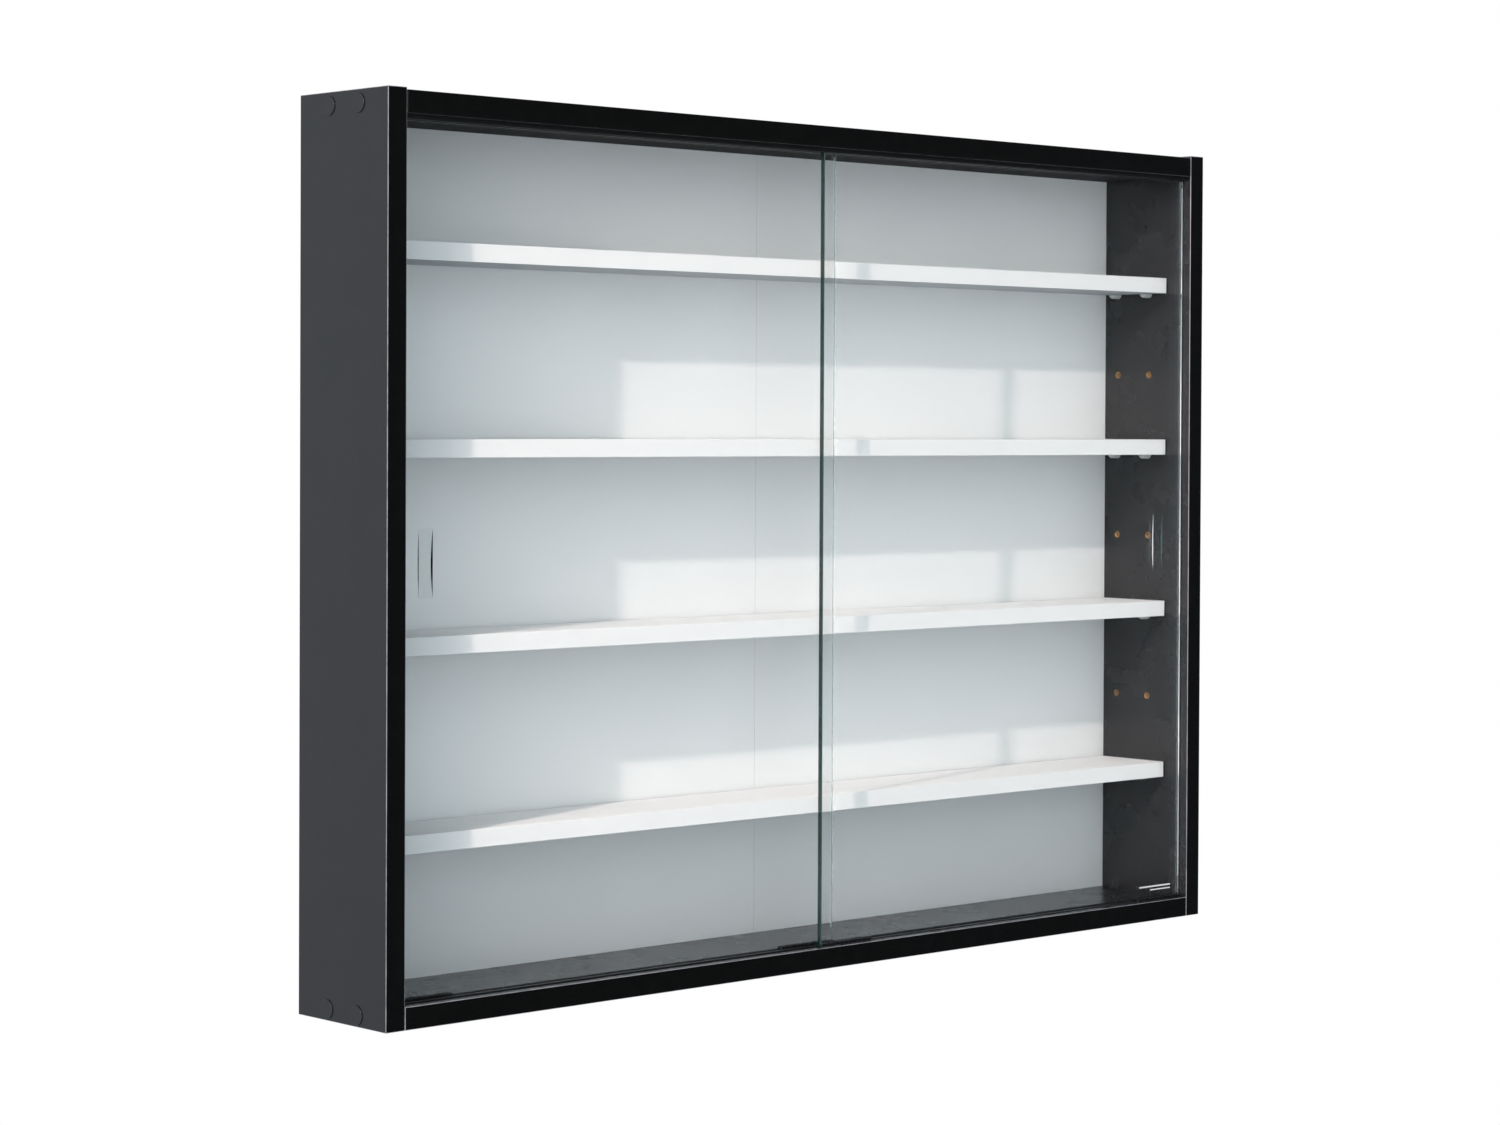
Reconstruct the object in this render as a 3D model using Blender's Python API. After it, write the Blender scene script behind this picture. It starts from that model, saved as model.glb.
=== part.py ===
"""Wall mounted showcase with two sliding glass doors and four adjustable shelves.

The carcass is four melamine faced boards held by connecting screws, with a thin back let into
grooves. Two plastic tracks carry the glass doors, which pass in front of each other. Each shelf
lies on four spoon supports in rows of drilled holes, and keyhole plates in the rear edges of the
side boards hang the showcase on the wall.

X runs to the right, Y towards the wall and Z up. The origin is on the wall plane, at the middle
of the top board's rear edge. All sizes are in metres.
"""

import math

import bmesh
import bpy
from mathutils import Matrix

# Carcass
WIDTH = 0.800
HEIGHT = 0.600
DEPTH = 0.095
BOARD = 0.015
TOP_STEP = 0.0014
GAP = 0.0003

# Back: two thin halves in a groove that runs round the four boards
BACK_THICKNESS = 0.003
BACK_RECESS = 0.002
BACK_GROOVE_DEPTH = 0.0035
TAPE_WIDTH = 0.040
TAPE_THICKNESS = 0.0003

# Shelves and the rows of support holes
SHELF_THICKNESS = 0.012
SHELF_SETBACK = 0.0255
SHELF_END_PLAY = 0.001
SHELF_BACK_PLAY = 0.0015
ROW_COUNT = 7
ROW_PITCH = 0.064
ROW_MIDDLE = 0.300
FRONT_HOLE_DEPTH = 0.044
REAR_HOLE_DEPTH = 0.076
PIN_HOLE_RADIUS = 0.0025
PIN_HOLE_LENGTH = 0.009
PIN_LENGTH = 0.008
SPOON_WIDTH = 0.0065
SPOON_DROP = 0.003
SPOON_LENGTH = 0.0095
SPOON_TOP = 0.0002

# Door tracks: one front and one rear channel, side by side
TRACK_SETBACK = 0.005
TRACK_WALL = 0.0012
TRACK_RIB = 0.0024
CHANNEL = 0.0066
TRACK_GROOVE = 0.008
TRACK_LIP_DROP = 0.0032

# Sliding doors
GLASS = 0.004
DOOR_WIDTH = 0.394
DOOR_BOTTOM = 0.0103
DOOR_TOP = 0.5833
DOOR_END_PLAY = 0.0005
PULL_INSET = 0.0278
PULL_WIDTH = 0.0113
PULL_LENGTH = 0.045
PULL_DEPTH = 0.0022
PULL_HEIGHT = 0.2965
GLIDER_LENGTH = 0.050
GLIDER_WALL = 0.0007
GLIDER_SOLE = 0.0012
GLIDER_TOP = 0.017

# Connecting screws through the side boards, with a stick-on cap over each head
SCREW_FRONT_DEPTH = 0.0315
SCREW_REAR_DEPTH = 0.0635
SCREW_LENGTH = 0.040
SCREW_HEAD_RADIUS = 0.005
SCREW_HEAD_DEPTH = 0.0025
SCREW_RADIUS = 0.0035
SCREW_ROOT_RADIUS = 0.0026
SCREW_SHANK = 0.014
THREAD_COUNT = 5
THREAD_PITCH = 0.0045
SOCKET_RADIUS = 0.0023
SOCKET_DEPTH = 0.003
CAP_RADIUS = 0.0065
CAP_THICKNESS = 0.0004

# Keyhole hanger plates let into the rear edges of the side boards
PLATE_INSET = 0.0072
PLATE_WIDTH = 0.011
PLATE_LENGTH = 0.048
PLATE_THICKNESS = 0.0012
PLATE_HEIGHT = 0.550
PLATE_RECESS = 0.0004
KEYHOLE_RADIUS = 0.004
KEYHOLE_SLOT = 0.0022
KEYHOLE_DROP = 0.004
KEYHOLE_RISE = 0.004
HEAD_POCKET_DEPTH = 0.008
PLATE_SCREW_SPACING = 0.0375
PLATE_SCREW_LENGTH = 0.014
PLATE_SCREW_RADIUS = 0.0015
PLATE_SCREW_HEAD = 0.0029

# Values worked out from the dimensions above
OVERCUT = 0.001
INNER = WIDTH / 2 - BOARD
TOP_BOARD_UNDERSIDE = HEIGHT - TOP_STEP - BOARD
DATUM_HEIGHT = TOP_BOARD_UNDERSIDE + BOARD / 2
BACK_FRONT_FACE = -BACK_RECESS - BACK_THICKNESS
TRACK_WIDTH = 2 * (TRACK_WALL + CHANNEL) + TRACK_RIB
CHANNEL_PITCH = CHANNEL + TRACK_RIB
ROW_HEIGHTS = [ROW_MIDDLE + ROW_PITCH * (row - ROW_COUNT // 2) for row in range(ROW_COUNT)]
SHELF_ROWS = ROW_HEIGHTS[::-2]


def from_front(distance):
    """Y of a point that lies this far behind the front edges."""
    return distance - DEPTH


def channel_middle(channel):
    """Y of the middle of a track channel, where 0 is the front one and 1 the rear one."""
    return from_front(TRACK_SETBACK + TRACK_WALL + CHANNEL / 2 + channel * CHANNEL_PITCH)


def clear_scene():
    for item in list(bpy.data.objects):
        bpy.data.objects.remove(item, do_unlink=True)


def make_material(name, colour, roughness, metallic=0.0, transmission=0.0):
    material = bpy.data.materials.new(name)
    material.use_nodes = True
    shader = material.node_tree.nodes["Principled BSDF"]
    shader.inputs["Base Color"].default_value = (*colour, 1.0)
    shader.inputs["Roughness"].default_value = roughness
    shader.inputs["Metallic"].default_value = metallic
    shader.inputs["Transmission Weight"].default_value = transmission
    material.diffuse_color = (*colour, 1.0)
    return material


def make_empty(name, location):
    empty = bpy.data.objects.new(name, None)
    empty.empty_display_size = 0.02
    empty.location = location
    bpy.context.scene.collection.objects.link(empty)
    return empty


def place(name, mesh, parent, location, turn=0.0):
    """Put a mesh under an empty. Location is measured from the cabinet's foot and the wall."""
    item = bpy.data.objects.new(name, mesh)
    item.parent = parent
    item.location = [at - start for at, start in zip(location, parent["foot"])]
    item.rotation_euler = (0.0, 0.0, turn)
    bpy.context.scene.collection.objects.link(item)
    return item


def finish_mesh(shape, name, material=None, smooth=False):
    bmesh.ops.recalc_face_normals(shape, faces=shape.faces)
    mesh = bpy.data.meshes.new(name)
    shape.to_mesh(mesh)
    shape.free()
    if material:
        mesh.materials.append(material)
    if smooth:
        mesh.shade_smooth()
        mesh.set_sharp_from_angle(angle=math.radians(35))
    return mesh


def add_block(shape, low, high):
    middle = [(a + b) / 2 for a, b in zip(low, high)]
    size = [b - a for a, b in zip(low, high)]
    matrix = Matrix.Translation(middle) @ Matrix.Diagonal((*size, 1.0))
    bmesh.ops.create_cube(shape, size=1.0, matrix=matrix)


def add_rod(shape, radius, start, end, axis, sides):
    """A cylinder along X or Y between two values, centred on the other two coordinates."""
    turn = Matrix.Rotation(math.pi / 2, 4, "Y" if axis == "X" else "X")
    middle = [(a + b) / 2 for a, b in zip(start, end)]
    length = max(abs(b - a) for a, b in zip(start, end))
    bmesh.ops.create_cone(
        shape, cap_ends=True, segments=sides, radius1=radius, radius2=radius, depth=length,
        matrix=Matrix.Translation(middle) @ turn)


def add_turned(shape, outline, matrix, sides):
    """Turn an outline of (radius, distance) points round the Z axis and close both ends."""
    corners = [shape.verts.new((radius, 0.0, along)) for radius, along in outline]
    edges = [shape.edges.new(pair) for pair in zip(corners, corners[1:])]
    spun = bmesh.ops.spin(
        shape, geom=corners + edges, cent=(0, 0, 0), axis=(0, 0, 1), angle=math.tau,
        steps=sides, use_merge=True)
    rings = {vert for vert in spun["geom_last"] if isinstance(vert, bmesh.types.BMVert)}
    loose = [edge for edge in shape.edges if edge.is_boundary]
    bmesh.ops.contextual_create(shape, geom=loose)
    faces = {face for vert in rings | set(corners) if vert.is_valid for face in vert.link_faces}
    moved = walk_island(faces)
    bmesh.ops.transform(shape, matrix=matrix, verts=list(moved))


def walk_island(faces):
    """All the vertices that are joined to these faces."""
    found = set()
    waiting = [vert for face in faces for vert in face.verts]
    while waiting:
        vert = waiting.pop()
        if vert in found:
            continue
        found.add(vert)
        waiting.extend(edge.other_vert(vert) for edge in vert.link_edges)
    return found


def add_prism(shape, outline, start, end):
    """Push a closed (Y, Z) outline from one X to another."""
    ring = [shape.verts.new((start, y, z)) for y, z in outline]
    face = shape.faces.new(ring)
    pushed = bmesh.ops.extrude_face_region(shape, geom=[face])
    verts = [item for item in pushed["geom"] if isinstance(item, bmesh.types.BMVert)]
    bmesh.ops.translate(shape, verts=verts, vec=(end - start, 0.0, 0.0))


def make_block(name, low, high, material, parent):
    """A rectangular piece whose origin is its own middle."""
    middle = [(a + b) / 2 for a, b in zip(low, high)]
    shape = bmesh.new()
    add_block(shape, [a - m for a, m in zip(low, middle)], [b - m for b, m in zip(high, middle)])
    return place(name, finish_mesh(shape, name, material), parent, middle)


def cut(item, shape, name, parent):
    """Take a shape, drawn in foot coordinates, out of a piece."""
    cutter = place(name, finish_mesh(shape, name), parent, (0.0, 0.0, 0.0))
    cutter.hide_render = True
    cutter.display_type = "WIRE"
    modifier = item.modifiers.new(name, "BOOLEAN")
    modifier.operation = "DIFFERENCE"
    modifier.solver = "EXACT"
    modifier.object = cutter


def ends():
    """The two ends of the showcase: a word and the sign of X."""
    return (("left", -1), ("right", 1))


def screw_places():
    """Every connecting screw: a name, the sign of X, its Y and its Z."""
    levels = (("top", DATUM_HEIGHT), ("bottom", BOARD / 2))
    depths = (("front", SCREW_FRONT_DEPTH), ("rear", SCREW_REAR_DEPTH))
    for level, height in levels:
        for end, side in ends():
            for where, depth in depths:
                yield f"{level}_{end}_{where}", side, from_front(depth), height


def screw_axis(side, depth, height):
    """Sends +Z to the screw's axis, which points inwards from the side board's outer face."""
    return Matrix.Translation((side * WIDTH / 2, depth, height)) @ Matrix.Rotation(
        -side * math.pi / 2, 4, "Y")


def make_side_board(end, side, material, cabinet):
    """Side board with its back groove, support holes, screw holes and hanger pocket."""
    outer = side * WIDTH / 2
    inner = side * INNER
    name = f"{end}_side_panel"
    board = make_block(
        name, (min(outer, inner), -DEPTH, 0.0), (max(outer, inner), 0.0, HEIGHT),
        material, cabinet)

    drilled = bmesh.new()
    groove = sorted((inner - side * OVERCUT, inner + side * BACK_GROOVE_DEPTH))
    add_block(
        drilled, (groove[0], BACK_FRONT_FACE - GAP, -OVERCUT),
        (groove[1], GAP - BACK_RECESS, HEIGHT + OVERCUT))
    for height in ROW_HEIGHTS:
        for depth in (from_front(FRONT_HOLE_DEPTH), from_front(REAR_HOLE_DEPTH)):
            add_rod(
                drilled, PIN_HOLE_RADIUS, (inner - side * OVERCUT, depth, height),
                (inner + side * PIN_HOLE_LENGTH, depth, height), "X", 16)
    for _, screw_side, depth, height in screw_places():
        if screw_side == side:
            step = SCREW_HEAD_RADIUS - SCREW_RADIUS
            outline = (
                (SCREW_HEAD_RADIUS + GAP, -OVERCUT),
                (SCREW_HEAD_RADIUS + GAP, SCREW_HEAD_DEPTH + GAP),
                (SCREW_RADIUS + GAP, SCREW_HEAD_DEPTH + GAP + step),
                (SCREW_RADIUS + GAP, BOARD + OVERCUT))
            add_turned(drilled, outline, screw_axis(side, depth, height), 16)
    cut(board, drilled, f"{end}_side_drilling", cabinet)

    plate_x = side * (WIDTH / 2 - PLATE_INSET)
    half_width = PLATE_WIDTH / 2 + GAP
    half_length = PLATE_LENGTH / 2 + GAP
    floor = -PLATE_RECESS - PLATE_THICKNESS - GAP
    pocket = bmesh.new()
    add_block(
        pocket, (plate_x - half_width, floor, PLATE_HEIGHT - half_length),
        (plate_x + half_width, OVERCUT, PLATE_HEIGHT + half_length))
    cut(board, pocket, f"{end}_hanger_pocket", cabinet)

    deep = bmesh.new()
    add_block(
        deep,
        (plate_x - KEYHOLE_RADIUS, -HEAD_POCKET_DEPTH, PLATE_HEIGHT - KEYHOLE_DROP - KEYHOLE_RADIUS),
        (plate_x + KEYHOLE_RADIUS, OVERCUT, PLATE_HEIGHT + KEYHOLE_RISE + KEYHOLE_RADIUS))
    for height in plate_screw_heights():
        add_rod(
            deep, PLATE_SCREW_RADIUS + GAP, (plate_x, OVERCUT, height),
            (plate_x, -PLATE_SCREW_LENGTH - OVERCUT, height), "Y", 12)
    cut(board, deep, f"{end}_hanger_drilling", cabinet)


def make_level_board(name, low, face, material, cabinet):
    """Top or bottom board. Face is the height of its inner face, where the grooves are."""
    inwards = 1 if face > low else -1
    board = make_block(
        name, (GAP - INNER, -DEPTH, low), (INNER - GAP, 0.0, low + BOARD), material, cabinet)

    def groove(shape, front, rear, depth):
        heights = sorted((face + inwards * OVERCUT, face - inwards * depth))
        add_block(shape, (-INNER - OVERCUT, front, heights[0]), (INNER + OVERCUT, rear, heights[1]))

    milled = bmesh.new()
    groove(milled, BACK_FRONT_FACE - GAP, GAP - BACK_RECESS, BACK_GROOVE_DEPTH)
    groove(
        milled, from_front(TRACK_SETBACK) - GAP,
        from_front(TRACK_SETBACK + TRACK_WIDTH) + GAP, TRACK_GROOVE)
    for _, side, depth, height in screw_places():
        if abs(height - low - BOARD / 2) < BOARD / 2:
            add_rod(
                milled, SCREW_RADIUS + GAP, (side * (INNER + OVERCUT), depth, height),
                (side * (WIDTH / 2 - SCREW_LENGTH - OVERCUT), depth, height), "X", 16)
    cut(board, milled, f"{name}_milling", cabinet)


def make_back(material, tape_material, cabinet):
    """Two halves of thin board, and the tape that joins them on the wall side."""
    edge = INNER + BACK_GROOVE_DEPTH - GAP
    low = BOARD - BACK_GROOVE_DEPTH + GAP
    high = TOP_BOARD_UNDERSIDE + BACK_GROOVE_DEPTH - GAP
    for end, side in ends():
        span = sorted((side * edge, side * GAP / 2))
        make_block(
            f"back_panel_{end}", (span[0], BACK_FRONT_FACE, low), (span[1], -BACK_RECESS, high),
            material, cabinet)
    tape_front = -BACK_RECESS + GAP
    make_block(
        "back_joint_tape", (-TAPE_WIDTH / 2, tape_front, BOARD + OVERCUT),
        (TAPE_WIDTH / 2, tape_front + TAPE_THICKNESS, TOP_BOARD_UNDERSIDE - OVERCUT),
        tape_material, cabinet)


def make_shelves(material, cabinet):
    length = INNER - SHELF_END_PLAY
    for number, row in enumerate(SHELF_ROWS, start=1):
        underside = row + SPOON_TOP + GAP
        make_block(
            f"shelf_{number}", (-length, from_front(SHELF_SETBACK), underside),
            (length, BACK_FRONT_FACE - SHELF_BACK_PLAY, underside + SHELF_THICKNESS),
            material, cabinet)


def support_mesh(material):
    """A spoon support: a round pin towards -X and a half-round tongue with a flat top."""
    spoon = bmesh.new()
    steps = 8
    outline = []
    for step in range(steps + 1):
        angle = math.pi * step / steps
        outline.append((
            SPOON_WIDTH / 2 * math.cos(angle), SPOON_TOP - SPOON_DROP * math.sin(angle)))
    nose = SPOON_WIDTH / 4
    add_prism(spoon, outline, GAP, SPOON_LENGTH - nose)
    tip = max(spoon.faces, key=lambda face: face.calc_center_median().x)
    pushed = bmesh.ops.extrude_face_region(spoon, geom=[tip])
    verts = [item for item in pushed["geom"] if isinstance(item, bmesh.types.BMVert)]
    spoon.faces.remove(tip)
    taper = Matrix.Translation((0, 0, SPOON_TOP)) @ Matrix.Diagonal((1, 0.55, 0.45, 1))
    bmesh.ops.transform(spoon, matrix=taper @ Matrix.Translation((nose, 0, -SPOON_TOP)), verts=verts)

    pin = bmesh.new()
    add_rod(
        pin, PIN_HOLE_RADIUS - GAP, (-PIN_LENGTH, 0, 0), (2 * GAP, 0, 0), "X", 16)
    return join_shapes(spoon, pin, "shelf_support", material)


def join_shapes(first, second, name, material, operation="UNION"):
    """Combine two shapes into one body and return it as a mesh of its own."""
    body = bpy.data.objects.new(name, finish_mesh(first, name))
    tool = bpy.data.objects.new(f"{name}_tool", finish_mesh(second, f"{name}_tool"))
    for item in (body, tool):
        bpy.context.scene.collection.objects.link(item)
    modifier = body.modifiers.new(name, "BOOLEAN")
    modifier.operation = operation
    modifier.solver = "EXACT"
    modifier.object = tool
    viewed = body.evaluated_get(bpy.context.evaluated_depsgraph_get())
    mesh = bpy.data.meshes.new_from_object(viewed)
    mesh.name = name
    mesh.materials.clear()
    mesh.materials.append(material)
    mesh.shade_smooth()
    mesh.set_sharp_from_angle(angle=math.radians(35))
    for item in (body, tool):
        bpy.data.objects.remove(item, do_unlink=True)
    return mesh


def make_supports(material, cabinet):
    mesh = support_mesh(material)
    for number, row in enumerate(SHELF_ROWS, start=1):
        for end, side in ends():
            for where, depth in (("front", FRONT_HOLE_DEPTH), ("rear", REAR_HOLE_DEPTH)):
                place(
                    f"shelf_support_{number}_{end}_{where}", mesh, cabinet,
                    (side * INNER, from_front(depth), row), math.pi if side > 0 else 0.0)


def track_outline(web_outer, lips, inwards):
    """Section of a two-channel track: a web with three ribs that end at the height lips."""
    web_inner = web_outer + inwards * TRACK_WALL
    start = from_front(TRACK_SETBACK)
    ribs = (
        (start, start + TRACK_WALL),
        (start + TRACK_WALL + CHANNEL, start + TRACK_WALL + CHANNEL + TRACK_RIB),
        (start + TRACK_WIDTH - TRACK_WALL, start + TRACK_WIDTH))
    outline = [(start + TRACK_WIDTH, web_outer), (start, web_outer)]
    for number, (front, rear) in enumerate(ribs):
        if number:
            outline.append((front, web_inner))
        outline += [(front, lips), (rear, lips)]
        if number < len(ribs) - 1:
            outline.append((rear, web_inner))
    return outline


def make_extrusion(name, outline, start, end, material, parent):
    """A straight plastic section with its origin at the middle of its length and section."""
    middle_y = sum(y for y, _ in outline) / len(outline)
    middle_z = sum(z for _, z in outline) / len(outline)
    half = (end - start) / 2
    shape = bmesh.new()
    add_prism(shape, [(y - middle_y, z - middle_z) for y, z in outline], -half, half)
    return place(
        name, finish_mesh(shape, name, material), parent, (start + half, middle_y, middle_z))


def make_tracks(material, cabinet):
    length = INNER - GAP
    top_web = TOP_BOARD_UNDERSIDE + TRACK_GROOVE - GAP
    make_extrusion(
        "top_track", track_outline(top_web, TOP_BOARD_UNDERSIDE - TRACK_LIP_DROP, -1),
        -length, length, material, cabinet)
    make_extrusion(
        "bottom_track", track_outline(BOARD - TRACK_GROOVE + GAP, BOARD, 1),
        -length, length, material, cabinet)


def pull_cutter(middle_x, glass_front):
    """A grinding wheel's slice: it leaves a trough that is deepest at the middle of its length."""
    radius = (PULL_LENGTH ** 2 / 4 + PULL_DEPTH ** 2) / (2 * PULL_DEPTH)
    half_angle = math.asin(PULL_LENGTH / 2 / radius)
    reach = 1.15
    steps = 14
    outline = []
    for step in range(steps + 1):
        angle = half_angle * reach * (2 * step / steps - 1)
        outline.append((
            glass_front + PULL_DEPTH - radius * (1 - math.cos(angle)),
            PULL_HEIGHT + radius * math.sin(angle)))
    shape = bmesh.new()
    add_prism(shape, outline, middle_x - PULL_WIDTH / 2, middle_x + PULL_WIDTH / 2)
    return shape


def glider_outline(middle):
    """Section of a door glider: a U that holds the glass edge and slides in the channel."""
    inner = GLASS / 2 + GAP
    outer = inner + GLIDER_WALL
    slot = DOOR_BOTTOM - GAP
    low = slot - GLIDER_SOLE
    return [
        (middle - outer, low), (middle + outer, low), (middle + outer, GLIDER_TOP),
        (middle + inner, GLIDER_TOP), (middle + inner, slot), (middle - inner, slot),
        (middle - inner, GLIDER_TOP), (middle - outer, GLIDER_TOP)]


def make_door(end, side, channel, glass, plastic, slide):
    """One glass door with its ground finger pull and the two gliders under its corners."""
    middle = channel_middle(channel)
    edge = side * (INNER - DOOR_END_PLAY)
    far = edge - side * DOOR_WIDTH
    low, high = sorted((edge, far))
    pane = make_block(
        f"{end}_glass_door", (low, middle - GLASS / 2, DOOR_BOTTOM),
        (high, middle + GLASS / 2, DOOR_TOP), glass, slide)
    cutter = pull_cutter(edge - side * PULL_INSET, middle - GLASS / 2)
    cut(pane, cutter, f"{end}_pull_grinding", slide)
    for where, start in (("outer", edge), ("inner", far + side * GLIDER_LENGTH)):
        span = sorted((start, start - side * GLIDER_LENGTH))
        make_extrusion(
            f"{end}_door_glider_{where}", glider_outline(middle), span[0], span[1],
            plastic, slide)


def connecting_screw_mesh(material):
    """A connecting screw with a socket head, drawn along +Z from the top of its head."""
    step = SCREW_HEAD_RADIUS - SCREW_RADIUS
    outline = [
        (SCREW_HEAD_RADIUS, 0.0),
        (SCREW_HEAD_RADIUS, SCREW_HEAD_DEPTH),
        (SCREW_RADIUS, SCREW_HEAD_DEPTH + step),
        (SCREW_RADIUS, SCREW_SHANK)]
    for turn in range(THREAD_COUNT):
        start = SCREW_SHANK + turn * THREAD_PITCH
        outline.append((SCREW_ROOT_RADIUS, start + THREAD_PITCH * 0.2))
        outline.append((SCREW_ROOT_RADIUS, start + THREAD_PITCH * 0.6))
        outline.append((SCREW_RADIUS, start + THREAD_PITCH))
    outline.append((SCREW_ROOT_RADIUS / 2, SCREW_LENGTH))
    screw = bmesh.new()
    add_turned(screw, outline, Matrix.Identity(4), 12)
    socket = bmesh.new()
    bmesh.ops.create_cone(
        socket, cap_ends=True, segments=6, radius1=SOCKET_RADIUS, radius2=SOCKET_RADIUS,
        depth=2 * SOCKET_DEPTH)
    return join_shapes(screw, socket, "connecting_screw", material, "DIFFERENCE")


def make_screws_and_caps(steel, plastic, cabinet):
    """Connecting screws and the thin caps stuck over their heads."""
    mesh = connecting_screw_mesh(steel)
    disc = bmesh.new()
    rim = CAP_THICKNESS * 0.4
    outline = (
        (CAP_RADIUS, 0.0), (CAP_RADIUS, CAP_THICKNESS - rim), (CAP_RADIUS - rim, CAP_THICKNESS))
    add_turned(disc, outline, Matrix.Identity(4), 24)
    cap_mesh = finish_mesh(disc, "screw_cap", plastic, smooth=True)
    for name, side, depth, height in screw_places():
        screw = place(f"connecting_screw_{name}", mesh, cabinet, (
            side * (WIDTH / 2 - GAP), depth, height))
        screw.rotation_euler = (0.0, -side * math.pi / 2, 0.0)
        cap = place(f"screw_cap_{name}", cap_mesh, cabinet, (
            side * (WIDTH / 2 + GAP), depth, height))
        cap.rotation_euler = (0.0, side * math.pi / 2, 0.0)


def plate_screw_heights():
    return (PLATE_HEIGHT - PLATE_SCREW_SPACING / 2, PLATE_HEIGHT + PLATE_SCREW_SPACING / 2)


def hanger_plate_mesh(material):
    """A flat plate with a keyhole and two countersunk screw holes, its rear face at Y = 0."""
    plate = bmesh.new()
    add_block(
        plate, (-PLATE_WIDTH / 2, -PLATE_THICKNESS, -PLATE_LENGTH / 2),
        (PLATE_WIDTH / 2, 0.0, PLATE_LENGTH / 2))
    holes = bmesh.new()
    through = OVERCUT + PLATE_THICKNESS
    outline = keyhole_outline()
    ring = [holes.verts.new((x, OVERCUT, z)) for x, z in outline]
    face = holes.faces.new(ring)
    pushed = bmesh.ops.extrude_face_region(holes, geom=[face])
    verts = [item for item in pushed["geom"] if isinstance(item, bmesh.types.BMVert)]
    bmesh.ops.translate(holes, verts=verts, vec=(0.0, -through - OVERCUT, 0.0))
    cone = PLATE_SCREW_HEAD - PLATE_SCREW_RADIUS
    sink = (
        (PLATE_SCREW_HEAD + GAP + OVERCUT * cone / PLATE_THICKNESS, -OVERCUT),
        (PLATE_SCREW_RADIUS + GAP, PLATE_THICKNESS),
        (PLATE_SCREW_RADIUS + GAP, through))
    for height in plate_screw_heights():
        at = Matrix.Translation((0, 0, height - PLATE_HEIGHT))
        add_turned(holes, sink, at @ Matrix.Rotation(math.pi / 2, 4, "X"), 12)
    return join_shapes(plate, holes, "hanger_plate", material, "DIFFERENCE")


def keyhole_outline():
    """Closed (X, Z) outline: a round entry for the screw head and a slot above it."""
    entry = -KEYHOLE_DROP
    end = KEYHOLE_RISE
    start_angle = math.asin(KEYHOLE_SLOT / KEYHOLE_RADIUS)
    steps = 12
    outline = []
    for step in range(steps + 1):
        angle = start_angle + (math.tau - 2 * start_angle) * step / steps
        outline.append((
            KEYHOLE_RADIUS * math.sin(angle), entry + KEYHOLE_RADIUS * math.cos(angle)))
    for step in range(steps // 2 + 1):
        angle = math.pi * step / (steps // 2)
        outline.append((-KEYHOLE_SLOT * math.cos(angle), end + KEYHOLE_SLOT * math.sin(angle)))
    return outline


def make_hangers(steel, cabinet):
    """Hanger plates and their countersunk screws."""
    plate_mesh = hanger_plate_mesh(steel)
    shape = bmesh.new()
    outline = (
        (PLATE_SCREW_HEAD, 0.0),
        (PLATE_SCREW_RADIUS, PLATE_THICKNESS),
        (PLATE_SCREW_RADIUS, PLATE_SCREW_LENGTH * 0.8),
        (PLATE_SCREW_RADIUS * 0.2, PLATE_SCREW_LENGTH))
    add_turned(shape, outline, Matrix.Rotation(math.pi / 2, 4, "X"), 12)
    screw_mesh = finish_mesh(shape, "hanger_screw", steel, smooth=True)
    for end, side in ends():
        plate_x = side * (WIDTH / 2 - PLATE_INSET)
        place(f"{end}_hanger_plate", plate_mesh, cabinet, (plate_x, -PLATE_RECESS, PLATE_HEIGHT))
        for where, height in zip(("lower", "upper"), plate_screw_heights()):
            place(
                f"{end}_hanger_screw_{where}", screw_mesh, cabinet,
                (plate_x, -PLATE_RECESS, height))


def body_empty(name, foot):
    """An empty that carries one body. Foot is its place measured from the cabinet's foot."""
    empty = make_empty(name, (foot[0], foot[1], foot[2] - DATUM_HEIGHT))
    empty["foot"] = foot
    return empty


def main():
    clear_scene()
    board = make_material("dark_melamine", (0.045, 0.044, 0.048), 0.42)
    shelf = make_material("white_melamine", (0.80, 0.80, 0.79), 0.35)
    back = make_material("white_back_board", (0.78, 0.80, 0.82), 0.5)
    tape = make_material("paper_tape", (0.62, 0.52, 0.38), 0.8)
    glass = make_material("tempered_glass", (0.86, 0.95, 0.92), 0.02, transmission=1.0)
    black = make_material("black_plastic", (0.015, 0.015, 0.016), 0.4)
    clear = make_material("pale_plastic", (0.72, 0.73, 0.72), 0.35)
    steel = make_material("zinc_plated_steel", (0.62, 0.62, 0.60), 0.35, metallic=1.0)

    cabinet = body_empty("cabinet", (0.0, 0.0, 0.0))
    left_slide = body_empty("left_door_slide", (-INNER, channel_middle(1), DOOR_BOTTOM))
    right_slide = body_empty("right_door_slide", (INNER, channel_middle(0), DOOR_BOTTOM))

    for end, side in ends():
        make_side_board(end, side, board, cabinet)
    make_level_board("top_panel", TOP_BOARD_UNDERSIDE, TOP_BOARD_UNDERSIDE, board, cabinet)
    make_level_board("bottom_panel", 0.0, BOARD, board, cabinet)
    make_back(back, tape, cabinet)
    make_shelves(shelf, cabinet)
    make_supports(clear, cabinet)
    make_tracks(black, cabinet)
    make_door("left", -1, 1, glass, black, left_slide)
    make_door("right", 1, 0, glass, black, right_slide)
    make_screws_and_caps(steel, black, cabinet)
    make_hangers(steel, cabinet)


main()
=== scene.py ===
"""Looks of a wall mounted showcase with sliding glass doors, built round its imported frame.

Each operator makes one group of pieces with fine edges and procedural finishes, in the places
that the frame gives. X runs to the right, Y towards the wall and Z up, in metres. The file is laid
out as an add-on and runs as a script.
"""

import math

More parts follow.
